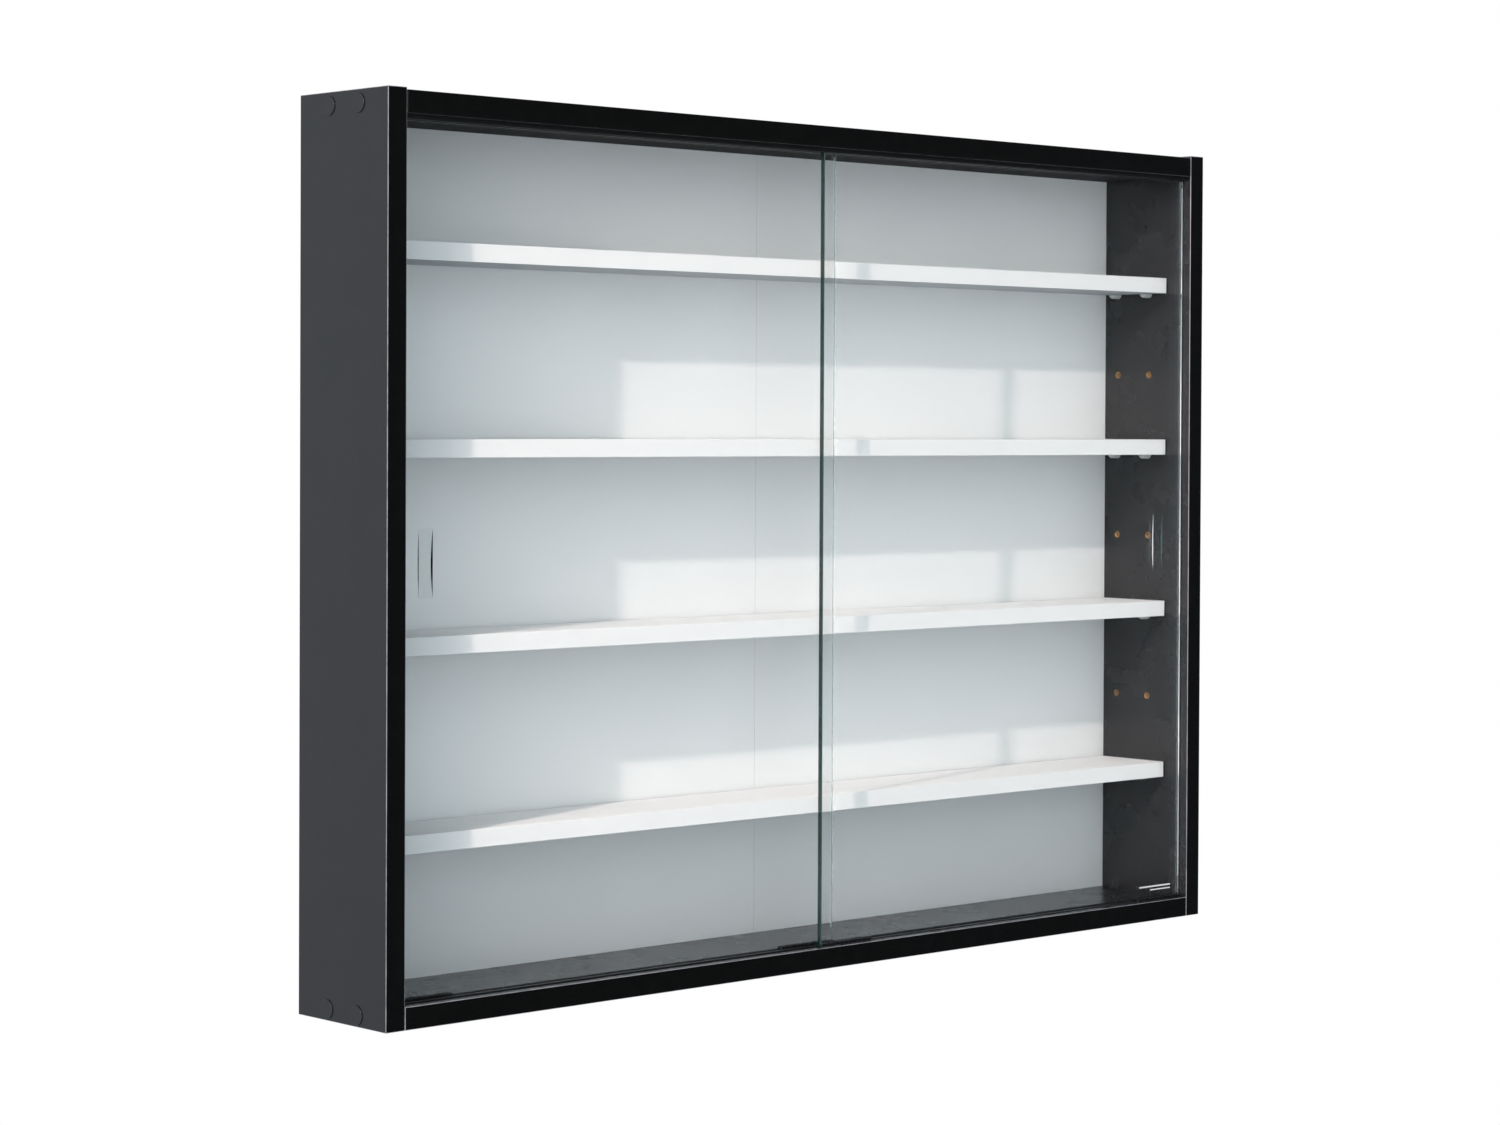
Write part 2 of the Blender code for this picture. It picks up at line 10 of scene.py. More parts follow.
import bmesh
import bpy
from bpy.props import FloatProperty, FloatVectorProperty, PointerProperty
from mathutils import Euler, Matrix, Vector


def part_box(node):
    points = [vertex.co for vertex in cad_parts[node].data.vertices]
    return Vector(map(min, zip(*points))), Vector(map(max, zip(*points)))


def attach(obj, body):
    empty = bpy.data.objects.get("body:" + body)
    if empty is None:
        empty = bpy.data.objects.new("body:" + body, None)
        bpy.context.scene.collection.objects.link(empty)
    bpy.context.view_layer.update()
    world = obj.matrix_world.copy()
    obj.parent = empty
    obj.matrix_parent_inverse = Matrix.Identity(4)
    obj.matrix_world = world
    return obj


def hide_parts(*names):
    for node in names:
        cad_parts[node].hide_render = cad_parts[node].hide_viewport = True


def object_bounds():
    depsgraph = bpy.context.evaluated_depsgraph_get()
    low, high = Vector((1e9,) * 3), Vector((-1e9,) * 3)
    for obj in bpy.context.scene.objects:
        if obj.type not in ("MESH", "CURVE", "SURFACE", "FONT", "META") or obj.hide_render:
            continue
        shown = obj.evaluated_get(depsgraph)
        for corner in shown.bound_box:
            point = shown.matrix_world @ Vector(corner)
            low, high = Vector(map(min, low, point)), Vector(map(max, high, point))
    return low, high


bl_info = {
    "name": "Wall Mounted Showcase",
    "version": (1, 0, 0),
    "blender": (4, 5, 0),
    "location": "3D View > Sidebar > Showcase",
    "description": "Makes the boards, glass doors, tracks and fittings of a wall mounted showcase",
    "category": "Add Mesh",
}

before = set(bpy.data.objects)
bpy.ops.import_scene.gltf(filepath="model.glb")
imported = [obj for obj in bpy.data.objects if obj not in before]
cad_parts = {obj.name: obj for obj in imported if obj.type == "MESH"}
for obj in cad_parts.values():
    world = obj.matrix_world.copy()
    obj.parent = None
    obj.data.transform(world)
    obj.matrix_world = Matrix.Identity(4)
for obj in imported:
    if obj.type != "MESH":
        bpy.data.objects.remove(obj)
CAD_BOX = [list(corner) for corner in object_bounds()]

ENDS = (("left", -1), ("right", 1))
DEPTHS = ("front", "rear")
LEVELS = ("top", "bottom")
GLIDER_PLACES = ("outer", "inner")
HANGER_SCREW_PLACES = ("lower", "upper")
SHELF_NUMBERS = (1, 2, 3, 4)

# How near two places, two directions and two corners are that count as the same
SAME_PLACE = 1e-5
SAME_WAY = 0.99
SAME_CORNER = 1e-7

# Fits and drillings that the frame's boxes don't give
PLAY = 0.0003
PIN_RADIUS = 0.0022
PIN_HOLE_RADIUS = 0.0025
PIN_HOLE_DEPTH = 0.009
ROW_COUNT = 7
HEAD_HOLE_RADIUS = 0.0053
HEAD_HOLE_DEPTH = 0.0028
SHANK_HOLE_RADIUS = 0.0038
SHANK_HOLE_START = 0.0043
SHANK_HOLE_DEPTH = 0.0262
JOINT_GAP = 0.00012

# A hole starts as a square cut into the face, with a smaller one set into that: half the outer
# one's side, and the width between them, over the hole's radius
CELL_REACH = 1.3
CELL_INSET = 0.2

# Studio: metres, millimetres for the lens, and degrees
FLOOR_RADIUS = 2.6
LAMP_PLACE = (-2.016, -0.666, 0.474)
LAMP_AIM = (-0.02, -0.05, -0.31)
LAMP_RADIUS = 0.018
LAMP_CONE = 34.0
CAMERA_PLACE = (-1.6911, -1.8242, -0.2042)
CAMERA_TURN = (89.066, -0.2491, -42.840)
LENS = 81.51
LENS_SHIFT = -0.055

# Directions in the soft surroundings: the middle of their dark part, and the height of their
# brightest band as the sine of its angle over the horizon
DARK_SIDE = (0.65, -0.76, 0.0)
BRIGHT_LEVEL = 0.12

# Inputs and output of a Mix node that blends colours
FACTOR, FIRST, SECOND, RESULT = 0, 6, 7, 2


def linear(code):
    """Linear colour of an sRGB hex value."""
    shares = [int(code[at:at + 2], 16) / 255 for at in (1, 3, 5)]
    return tuple(
        share / 12.92 if share <= 0.04045 else ((share + 0.055) / 1.055) ** 2.4
        for share in shares)


def size(name, default, description):
    return FloatProperty(
        name=name, default=default, description=description, min=0.0, subtype="DISTANCE",
        unit="LENGTH", precision=5)


def colour(name, code, description):
    return FloatVectorProperty(
        name=name, default=linear(code), description=description, subtype="COLOR", size=3,
        min=0.0, max=1.0)


class ShowcaseSizes(bpy.types.PropertyGroup):
    """Sizes of the fine shapes, which the frame leaves plain."""

    board_arris: size("Board arris", 0.0004, "Width of the scraped corner along a board's edges")
    shelf_arris: size("Shelf arris", 0.00025, "Width of the rounded corner along a shelf's edges")
    hole_rim: size("Hole rim", 0.0002, "Width of the chamfer round a drilled hole")
    glass_arris: size("Glass arris", 0.0005, "Width of the ground chamfer on the glass edges")
    pull_length: size("Pull length", 0.045, "Height of the finger pull ground into a door")
    pull_width: size("Pull width", 0.0113, "Width of the finger pull ground into a door")
    pull_depth: size("Pull depth", 0.0022, "Depth of the finger pull at its middle")
    pull_inset: size("Pull inset", 0.0278, "From a door's outer edge to the middle of its pull")
    pull_drop: size("Pull drop", 0.0003, "How far the pull's middle lies under the door's middle")
    track_lip: size("Track lip", 0.0004, "Radius of the rounded lips of the door tracks")
    glider_edge: size("Glider edge", 0.00025, "Radius of a glider's edges")
    floor_drop: size("Floor drop", 1.3, "From the showcase's foot to the studio floor")


class ShowcaseColours(bpy.types.PropertyGroup):
    """Colours of the finishes."""

    board: colour("Board", "#171719", "Charcoal melamine of the carcass")
    edge_band: colour("Edge band", "#070707", "Black bands on the carcass edges")
    # The arris colour is a painted highlight on the corner between a board's face and its band
    arris: colour("Arris", "#88868b", "Scraped corner between a board's face and its band")
    chipboard: colour("Chipboard", "#c8a270", "Raw chipboard in holes and on rear edges")
    back: colour("Back", "#eff1f1", "White foil on the front of the back")
    hardboard: colour("Hardboard", "#7a5a3e", "Raw rear of the back")
    tape: colour("Tape", "#ab8a60", "Paper tape over the joint of the back")
    shelf: colour("Shelf", "#eaeae8", "White melamine of the shelves")
    # Painted shade: the grey under the shelves stands for the shade that falls there
    under_shelf_shade: colour("Shelf underside", "#a6aaad", "Backing foil under the shelves")
    support: colour("Support", "#b9bcba", "Moulded shelf supports")
    plastic: colour("Plastic", "#0f0f10", "Door tracks and gliders")
    cap: colour("Cap", "#1a191d", "Stick-on caps over the screw heads")
    glass_edge: colour("Glass edge", "#0f332c", "Polished edges of the doors")
    ground_glass: colour("Ground glass", "#eef3f2", "Floor of the ground finger pulls")
    zinc: colour("Zinc", "#c6c5c0", "Plated steel plates and screws")
    print_mark: colour("Print", "#dcdddb", "Printed bars on the right door")
    floor: colour("Floor", "#f6f6f6", "Studio floor")


class ShowcaseLight(bpy.types.PropertyGroup):
    """Strength of the studio's lights."""

    key: FloatProperty(
        name="Key", default=3.0, min=0.0, description="Strength of the small key light")
    key_colour: colour("Key colour", "#ffebe5", "Colour of the key light")
    fill: FloatProperty(
        name="Fill", default=1.36, min=0.0, description="Brightness of the soft surroundings")
    fill_colour: colour("Fill colour", "#eef8ff", "Colour of the soft surroundings")


# Node helper and finishes


def add_node(tree, kind, sockets=None, **settings):
    """Add a node, set its settings, and give each input a value or a link to another's output."""
    made = tree.nodes.new(kind)
    for name, value in settings.items():
        setattr(made, name, value)
    for name, value in (sockets or {}).items():
        if isinstance(value, bpy.types.NodeSocket):
            tree.links.new(value, made.inputs[name])
        else:
            made.inputs[name].default_value = value
    return made


def per_mm(size_mm):
    """Scale of a pattern whose features are this many millimetres wide."""
    return 1000.0 / size_mm


def shaded(tint, factor):
    """A colour made darker or lighter, with its alpha."""
    return (*(min(1.0, share * factor) for share in tint), 1.0)


def finish(recipe):
    """The material that a recipe makes. It is made once and shared."""
    name = recipe.__name__
    if name not in bpy.data.materials:
        made = bpy.data.materials.new(name)
        made.use_nodes = True
        made.node_tree.nodes.clear()
        surface = recipe(made.node_tree, bpy.context.scene.showcase_colours)
        add_node(made.node_tree, "ShaderNodeOutputMaterial", {"Surface": surface.outputs[0]})
    return bpy.data.materials[name]


def mottled(tree, tint, shares, pattern, surface, gloss=None, relief=None, stretch=None):
    """A surface with one noise pattern in it. The pattern runs the tint from the first of two
    shares to the second, may run the roughness between two values, may raise a relief of a given
    strength and height, and may be stretched along an axis whose scale is under one."""
    at = add_node(tree, "ShaderNodeTexCoord").outputs["Object"]
    if stretch:
        at = add_node(tree, "ShaderNodeMapping", {"Vector": at, "Scale": stretch}).outputs[0]
    noise = add_node(tree, "ShaderNodeTexNoise", {"Vector": at, **pattern}).outputs["Fac"]
    mixed = add_node(
        tree, "ShaderNodeMix",
        {FACTOR: noise, FIRST: shaded(tint, shares[0]), SECOND: shaded(tint, shares[1])},
        data_type="RGBA")
    sockets = {"Base Color": mixed.outputs[RESULT], **surface}
    if gloss:
        rough = add_node(
            tree, "ShaderNodeMapRange",
            {"Value": noise, "From Min": 0.3, "From Max": 0.7, "To Min": gloss[0],
             "To Max": gloss[1]})
        sockets["Roughness"] = rough.outputs[0]
    if relief:
        raised = add_node(
            tree, "ShaderNodeBump",
            {"Height": noise, "Strength": relief[0], "Distance": relief[1]})
        sockets["Normal"] = raised.outputs[0]
    return add_node(tree, "ShaderNodeBsdfPrincipled", sockets)


def with_clear_shadow(tree, glass, tint):
    """Glass whose shadow is clear but for a tint, so that light reaches what stands behind it."""
    let_through = add_node(tree, "ShaderNodeBsdfTransparent", {"Color": tint})
    path = add_node(tree, "ShaderNodeLightPath")
    return add_node(
        tree, "ShaderNodeMixShader",
        {0: path.outputs["Is Shadow Ray"], 1: glass.outputs[0], 2: let_through.outputs[0]})


def satin_charcoal_melamine(tree, colours):
    """Paper-faced board pressed against a satin plate: an even charcoal that mirrors softly, with
    the faint cloudiness of the printed paper and a pearl of 1.2 mm, drawn coarser than the real."""
    at = add_node(tree, "ShaderNodeTexCoord").outputs["Object"]
    cloud = add_node(
        tree, "ShaderNodeTexNoise", {"Vector": at, "Scale": per_mm(28), "Detail": 4.0})
    speck = add_node(
        tree, "ShaderNodeTexNoise", {"Vector": at, "Scale": per_mm(1.6), "Detail": 2.0})
    both = add_node(
        tree, "ShaderNodeMath",
        {0: cloud.outputs["Fac"], 1: speck.outputs["Fac"]}, operation="MULTIPLY")
    tone = add_node(
        tree, "ShaderNodeMapRange",
        {"Value": both.outputs[0], "From Min": 0.12, "From Max": 0.42})
    tint = add_node(
        tree, "ShaderNodeMix",
        {FACTOR: tone.outputs[0], FIRST: shaded(colours.board, 0.93),
         SECOND: shaded(colours.board, 1.1)}, data_type="RGBA")
    gloss = add_node(
        tree, "ShaderNodeMapRange",
        {"Value": cloud.outputs["Fac"], "From Min": 0.3, "From Max": 0.7, "To Min": 0.26,
         "To Max": 0.28})
    pearl = add_node(
        tree, "ShaderNodeTexNoise", {"Vector": at, "Scale": per_mm(1.2), "Detail": 1.0})
    relief = add_node(
        tree, "ShaderNodeBump",
        {"Height": pearl.outputs["Fac"], "Strength": 0.02, "Distance": 0.00002})
    return add_node(
        tree, "ShaderNodeBsdfPrincipled",
        {"Base Color": tint.outputs[RESULT], "Roughness": gloss.outputs[0], "IOR": 1.5,
         "Normal": relief.outputs[0]})


def matt_charcoal_with_painted_shade(tree, colours):
    """The top board's underside, from a press plate without gloss, and the floors of the track
    grooves:
    matt enough to mirror hardly anything, with clouds of 28 mm, and painted darker as painted
    shade."""
    return mottled(
        tree, colours.board, (0.45, 0.6), {"Scale": per_mm(28), "Detail": 4.0},
        {"Roughness": 0.7, "IOR": 1.5, "Specular IOR Level": 0.1})


def black_edge_band(tree, colours):
    """Extruded ABS band ironed onto the edges: near black, smoother than the faces, with faint
    scuffs about 12 mm long."""
    return mottled(
        tree, colours.edge_band, (0.85, 1.2), {"Scale": per_mm(12), "Detail": 2.0},
        {"IOR": 1.52}, gloss=(0.16, 0.21), relief=(0.06, 0.00002))


def painted_corner_highlight(tree, colours):
    """The corner where face and band meet, scraped flush after ironing. Its thin paler line is a
    painted highlight of the rounded corner, which comes and goes over 10 mm and is duller than
    both."""
    at = add_node(tree, "ShaderNodeTexCoord").outputs["Object"]
    highlight_patches = add_node(
        tree, "ShaderNodeTexNoise",
        {"Vector": at, "Scale": per_mm(10), "Detail": 6.0, "Roughness": 0.65})
    amount = add_node(
        tree, "ShaderNodeMapRange",
        {"Value": highlight_patches.outputs["Fac"], "From Min": 0.36, "From Max": 0.6})
    # Painted highlight: the pale arris colour, in patches, stands for the light the rounded corner
    # catches
    tint = add_node(
        tree, "ShaderNodeMix",
        {FACTOR: amount.outputs[0], FIRST: shaded(colours.arris, 0.55),
         SECOND: shaded(colours.arris, 1.0)}, data_type="RGBA")
    relief = add_node(
        tree, "ShaderNodeBump",
        {"Height": highlight_patches.outputs["Fac"], "Strength": 0.1, "Distance": 0.00003})
    return add_node(
        tree, "ShaderNodeBsdfPrincipled",
        {"Base Color": tint.outputs[RESULT], "Roughness": 0.42, "IOR": 1.5,
         "Normal": relief.outputs[0]})


def raw_chipboard(tree, colours):
    """Sawn or drilled wood chips of about 2 mm in resin: matt light brown, every chip another
    shade, with dark pores between them."""
    at = add_node(tree, "ShaderNodeTexCoord").outputs["Object"]
    chips = add_node(
        tree, "ShaderNodeTexVoronoi", {"Vector": at, "Scale": per_mm(2.0), "Randomness": 1.0})
    tone = add_node(
        tree, "ShaderNodeSeparateColor", {"Color": chips.outputs["Color"]})
    tint = add_node(
        tree, "ShaderNodeMix",
        {FACTOR: tone.outputs[0], FIRST: shaded(colours.chipboard, 0.6),
         SECOND: shaded(colours.chipboard, 1.25)}, data_type="RGBA")
    pores = add_node(
        tree, "ShaderNodeMapRange",
        {"Value": chips.outputs["Distance"], "From Min": 0.35, "From Max": 0.75})
    pitted = add_node(
        tree, "ShaderNodeMix",
        {FACTOR: pores.outputs[0], FIRST: tint.outputs[RESULT],
         SECOND: shaded(colours.chipboard, 0.35)}, data_type="RGBA")
    relief = add_node(
        tree, "ShaderNodeBump",
        {"Height": chips.outputs["Distance"], "Strength": 0.6, "Distance": 0.0003},
        invert=True)
    return add_node(
        tree, "ShaderNodeBsdfPrincipled",
        {"Base Color": pitted.outputs[RESULT], "Roughness": 0.85, "IOR": 1.45,
         "Normal": relief.outputs[0]})


def white_foil_hardboard(tree, colours):
    """Hardboard with a white foil: eggshell white, very slightly wavy over 90 mm, because the foil
    follows the board, with a grain of 2 mm."""
    at = add_node(tree, "ShaderNodeTexCoord").outputs["Object"]
    wave = add_node(
        tree, "ShaderNodeTexNoise", {"Vector": at, "Scale": per_mm(90), "Detail": 2.0})
    grain = add_node(
        tree, "ShaderNodeTexNoise", {"Vector": at, "Scale": per_mm(2.0), "Detail": 2.0})
    tint = add_node(
        tree, "ShaderNodeMix",
        {FACTOR: wave.outputs["Fac"], FIRST: shaded(colours.back, 0.955),
         SECOND: shaded(colours.back, 1.0)}, data_type="RGBA")
    gloss = add_node(
        tree, "ShaderNodeMapRange",
        {"Value": grain.outputs["Fac"], "From Min": 0.3, "From Max": 0.7, "To Min": 0.42,
         "To Max": 0.52})
    swell = add_node(
        tree, "ShaderNodeBump",
        {"Height": wave.outputs["Fac"], "Strength": 0.4, "Distance": 0.0006})
    relief = add_node(
        tree, "ShaderNodeBump",
        {"Height": grain.outputs["Fac"], "Strength": 0.2, "Distance": 0.00003,
         "Normal": swell.outputs[0]})
    return add_node(
        tree, "ShaderNodeBsdfPrincipled",
        {"Base Color": tint.outputs[RESULT], "Roughness": gloss.outputs[0], "IOR": 1.48,
         "Normal": relief.outputs[0]})


def screened_hardboard(tree, colours):
    """The rear of hardboard: brown pressed fibre with the print of the wire screen it dried on, a
    mesh of 1.8 mm, drawn a little coarser than the real one."""
    at = add_node(tree, "ShaderNodeTexCoord").outputs["Object"]
    fibre = add_node(
        tree, "ShaderNodeTexNoise",
        {"Vector": at, "Scale": per_mm(3.5), "Detail": 8.0, "Roughness": 0.7, "Distortion": 0.6})
    cloud = add_node(
        tree, "ShaderNodeTexNoise", {"Vector": at, "Scale": per_mm(45), "Detail": 3.0})
    across = add_node(
        tree, "ShaderNodeTexWave", {"Vector": at, "Scale": per_mm(1.8) / 20},
        bands_direction="X")
    down = add_node(
        tree, "ShaderNodeTexWave", {"Vector": at, "Scale": per_mm(1.8) / 20},
        bands_direction="Z")
    screen = add_node(
        tree, "ShaderNodeMath",
        {0: across.outputs["Fac"], 1: down.outputs["Fac"]}, operation="MULTIPLY")
    tone = add_node(
        tree, "ShaderNodeMath",
        {0: fibre.outputs["Fac"], 1: cloud.outputs["Fac"]}, operation="ADD")
    share = add_node(
        tree, "ShaderNodeMapRange",
        {"Value": tone.outputs[0], "From Min": 0.45, "From Max": 1.55})
    tint = add_node(
        tree, "ShaderNodeMix",
        {FACTOR: share.outputs[0], FIRST: shaded(colours.hardboard, 0.65),
         SECOND: shaded(colours.hardboard, 1.3)}, data_type="RGBA")
    relief = add_node(
        tree, "ShaderNodeBump",
        {"Height": screen.outputs[0], "Strength": 0.5, "Distance": 0.00015})
    return add_node(
        tree, "ShaderNodeBsdfPrincipled",
        {"Base Color": tint.outputs[RESULT], "Roughness": 0.78, "IOR": 1.45,
         "Normal": relief.outputs[0]})


def white_melamine(tree, colours):
    """White paper-faced board and its band: a clean satin white with a fine pearl of 1.1 mm and
    hardly any change of tone."""
    at = add_node(tree, "ShaderNodeTexCoord").outputs["Object"]
    cloud = add_node(
        tree, "ShaderNodeTexNoise", {"Vector": at, "Scale": per_mm(40), "Detail": 3.0})
    tint = add_node(
        tree, "ShaderNodeMix",
        {FACTOR: cloud.outputs["Fac"], FIRST: shaded(colours.shelf, 0.95),
         SECOND: shaded(colours.shelf, 1.01)}, data_type="RGBA")
    gloss = add_node(
        tree, "ShaderNodeMapRange",
        {"Value": cloud.outputs["Fac"], "From Min": 0.3, "From Max": 0.7, "To Min": 0.5,
         "To Max": 0.58})
    pearl = add_node(
        tree, "ShaderNodeTexNoise", {"Vector": at, "Scale": per_mm(1.1), "Detail": 1.0})
    relief = add_node(
        tree, "ShaderNodeBump",
        {"Height": pearl.outputs["Fac"], "Strength": 0.1, "Distance": 0.00002})
    return add_node(
        tree, "ShaderNodeBsdfPrincipled",
        {"Base Color": tint.outputs[RESULT], "Roughness": gloss.outputs[0], "IOR": 1.5,
         "Specular IOR Level": 0.3, "Normal": relief.outputs[0]})


def grey_painted_shade_under_shelf(tree, colours):
    """Under a shelf: matt light grey with soft clouds of 35 mm, painted greyer than the top as
    painted shade.
    """
    return mottled(
        tree, colours.under_shelf_shade, (0.95, 1.05), {"Scale": per_mm(35), "Detail": 3.0},
        {"Roughness": 0.7, "IOR": 1.5, "Specular IOR Level": 0.2})


def kraft_tape(tree, colours):
    """Gummed paper tape: matt brown with fibres about 6 mm long that run down the strip."""
    return mottled(
        tree, colours.tape, (0.75, 1.2),
        {"Scale": per_mm(0.8), "Detail": 5.0, "Roughness": 0.65},
        {"Roughness": 0.72, "IOR": 1.45}, relief=(0.35, 0.00006), stretch=(1.0, 1.0, 0.12))


def moulded_nylon(tree, colours):
    """Injection moulded natural nylon: milky pale grey, slightly waxy, with the soft flow marks of
    the mould about 3 mm wide."""
    return mottled(
        tree, colours.support, (0.9, 1.05), {"Scale": per_mm(3), "Detail": 2.0},
        {"Roughness": 0.36, "IOR": 1.53, "Subsurface Weight": 0.15, "Subsurface Scale": 0.001},
        relief=(0.15, 0.00004))


def extruded_black_pvc(tree, colours):
    """Extruded rigid PVC: black, semi-gloss, with die lines 0.7 mm apart that run the whole length
    of the profile and a little dust in them."""
    at = add_node(tree, "ShaderNodeTexCoord").outputs["Object"]
    drawn = add_node(
        tree, "ShaderNodeMapping", {"Vector": at, "Scale": (0.01, 1.0, 1.0)})
    lines = add_node(
        tree, "ShaderNodeTexNoise",
        {"Vector": drawn.outputs[0], "Scale": per_mm(0.7), "Detail": 2.0})
    dust = add_node(
        tree, "ShaderNodeTexNoise",
        {"Vector": at, "Scale": per_mm(9), "Detail": 6.0, "Roughness": 0.7})
    share = add_node(
        tree, "ShaderNodeMapRange",
        {"Value": dust.outputs["Fac"], "From Min": 0.45, "From Max": 0.8, "To Max": 0.5})
    tint = add_node(
        tree, "ShaderNodeMix",
        {FACTOR: share.outputs[0], FIRST: shaded(colours.plastic, 0.9),
         SECOND: shaded(colours.plastic, 2.2)}, data_type="RGBA")
    gloss = add_node(
        tree, "ShaderNodeMapRange",
        {"Value": dust.outputs["Fac"], "From Min": 0.3, "From Max": 0.7, "To Min": 0.26,
         "To Max": 0.42})
    relief = add_node(
        tree, "ShaderNodeBump",
        {"Height": lines.outputs["Fac"], "Strength": 0.3, "Distance": 0.00004})
    return add_node(
        tree, "ShaderNodeBsdfPrincipled",
        {"Base Color": tint.outputs[RESULT], "Roughness": gloss.outputs[0], "IOR": 1.53,
         "Normal": relief.outputs[0]})


def moulded_black_acetal(tree, colours):
    """Injection moulded acetal: black and slippery smooth, with rub marks of 2 mm."""
    return mottled(
        tree, colours.plastic, (0.8, 1.8), {"Scale": per_mm(2), "Detail": 4.0, "Roughness": 0.6},
        {"IOR": 1.48}, gloss=(0.22, 0.38), relief=(0.15, 0.00003))


def charcoal_foil(tree, colours):
    """Printed PVC foil of the stick-on caps: charcoal like the boards but a shade lighter and
    more matt, pressed with a grain of 0.9 mm."""
    return mottled(
        tree, colours.cap, (0.85, 1.15), {"Scale": per_mm(0.9), "Detail": 2.0},
        {"Roughness": 0.29, "IOR": 1.5}, relief=(0.1, 0.00002))


def clear_toughened_glass(tree, colours):
    """Float glass, toughened: clear with a trace of green, mirror smooth, its reflections bent a
    little by the rollers of the oven, about 180 mm from wave to wave."""
    at = add_node(tree, "ShaderNodeTexCoord").outputs["Object"]
    rollers = add_node(
        tree, "ShaderNodeTexNoise", {"Vector": at, "Scale": per_mm(180), "Detail": 1.0})
    relief = add_node(
        tree, "ShaderNodeBump",
        {"Height": rollers.outputs["Fac"], "Strength": 0.1, "Distance": 0.001})
    pane = add_node(
        tree, "ShaderNodeBsdfPrincipled",
        {"Base Color": (0.966, 0.985, 0.984, 1.0), "Roughness": 0.0, "IOR": 1.52,
         "Transmission Weight": 1.0, "Normal": relief.outputs[0]})
    return with_clear_shadow(tree, pane, (0.956, 0.966, 0.964, 1.0))


def polished_glass_edge(tree, colours):
    """Ground and polished glass edge: light has come a long way through the pane, so it is a deep
    sea green, with polishing lines of 1 mm."""
    at = add_node(tree, "ShaderNodeTexCoord").outputs["Object"]
    lines = add_node(
        tree, "ShaderNodeTexNoise", {"Vector": at, "Scale": per_mm(1.0), "Detail": 3.0})
    depth = add_node(
        tree, "ShaderNodeTexNoise", {"Vector": at, "Scale": per_mm(60), "Detail": 2.0})
    tint = add_node(
        tree, "ShaderNodeMix",
        {FACTOR: depth.outputs["Fac"], FIRST: shaded(colours.glass_edge, 0.7),
         SECOND: shaded(colours.glass_edge, 1.2)}, data_type="RGBA")
    relief = add_node(
        tree, "ShaderNodeBump",
        {"Height": lines.outputs["Fac"], "Strength": 0.2, "Distance": 0.00003})
    edge = add_node(
        tree, "ShaderNodeBsdfPrincipled",
        {"Base Color": tint.outputs[RESULT], "Roughness": 0.12, "IOR": 1.52,
         "Transmission Weight": 0.5, "Normal": relief.outputs[0]})
    return with_clear_shadow(tree, edge, (0.03, 0.06, 0.055, 1.0))


def clear_glass_edge(tree, colours):
    """Polished glass met from inside the pane, at its right-hand edge and in the walls of a pull:
    it mirrors the case behind it with a breath of green, duller where the belt slowed down, every
    25 mm or so."""
    at = add_node(tree, "ShaderNodeTexCoord").outputs["Object"]
    belt = add_node(
        tree, "ShaderNodeTexNoise", {"Vector": at, "Scale": per_mm(25), "Detail": 2.0})
    gloss = add_node(
        tree, "ShaderNodeMapRange",
        {"Value": belt.outputs["Fac"], "From Min": 0.3, "From Max": 0.7, "To Min": 0.0,
         "To Max": 0.03})
    edge = add_node(
        tree, "ShaderNodeBsdfPrincipled",
        {"Base Color": (0.72, 0.93, 0.87, 1.0), "Roughness": gloss.outputs[0], "IOR": 1.52,
         "Specular Tint": (0.62, 0.98, 0.88, 1.0), "Transmission Weight": 1.0})
    return with_clear_shadow(tree, edge, (0.93, 0.96, 0.955, 1.0))


def ground_glass(tree, colours):
    """Glass as the wheel leaves it after a quick polish: a silky grey green that still lets light
    through, with wheel lines 0.8 mm apart."""
    return mottled(
        tree, colours.ground_glass, (0.96, 1.05), {"Scale": per_mm(0.8), "Detail": 2.0},
        {"Roughness": 0.04, "IOR": 1.52, "Transmission Weight": 1.0}, relief=(0.1, 0.00002),
        stretch=(1.0, 1.0, 0.06))


def zinc_plated_steel(tree, colours):
    """Bright zinc plating on stamped steel: silvery with a breath of yellow and blue, and handling
    marks of 2.5 mm."""
    at = add_node(tree, "ShaderNodeTexCoord").outputs["Object"]
    marks = add_node(
        tree, "ShaderNodeTexNoise",
        {"Vector": at, "Scale": per_mm(2.5), "Detail": 5.0, "Roughness": 0.6})
    cloud = add_node(
        tree, "ShaderNodeTexNoise", {"Vector": at, "Scale": per_mm(9), "Detail": 1.0})
    tint = add_node(
        tree, "ShaderNodeMix",
        {FACTOR: cloud.outputs["Fac"], FIRST: (*linear("#cfc9ae"), 1.0),
         SECOND: shaded(colours.zinc, 1.05)}, data_type="RGBA")
    gloss = add_node(
        tree, "ShaderNodeMapRange",
        {"Value": marks.outputs["Fac"], "From Min": 0.3, "From Max": 0.7, "To Min": 0.22,
         "To Max": 0.42})
    relief = add_node(
        tree, "ShaderNodeBump",
        {"Height": marks.outputs["Fac"], "Strength": 0.2, "Distance": 0.00004})
    return add_node(
        tree, "ShaderNodeBsdfPrincipled",
        {"Base Color": tint.outputs[RESULT], "Roughness": gloss.outputs[0], "Metallic": 1.0,
         "Normal": relief.outputs[0]})


def white_screen_print(tree, colours):
    """Ceramic ink printed through a screen: opaque satin white with a mesh grain of 0.4 mm."""
    return mottled(
        tree, colours.print_mark, (0.9, 1.0), {"Scale": per_mm(0.4), "Detail": 1.0},
        {"Roughness": 0.5, "IOR": 1.5})


def painted_floor(tree, colours):
    """Matt white studio floor paint with roller marks of 60 mm."""
    return mottled(
        tree, colours.floor, (0.99, 1.0), {"Scale": per_mm(60), "Detail": 3.0},
        {"Roughness": 0.9, "IOR": 1.45})


# Shaping


def new_box(low, high):
    """A closed box between two corners."""
    shape = bmesh.new()
    add_box(shape, low, high)
    return shape


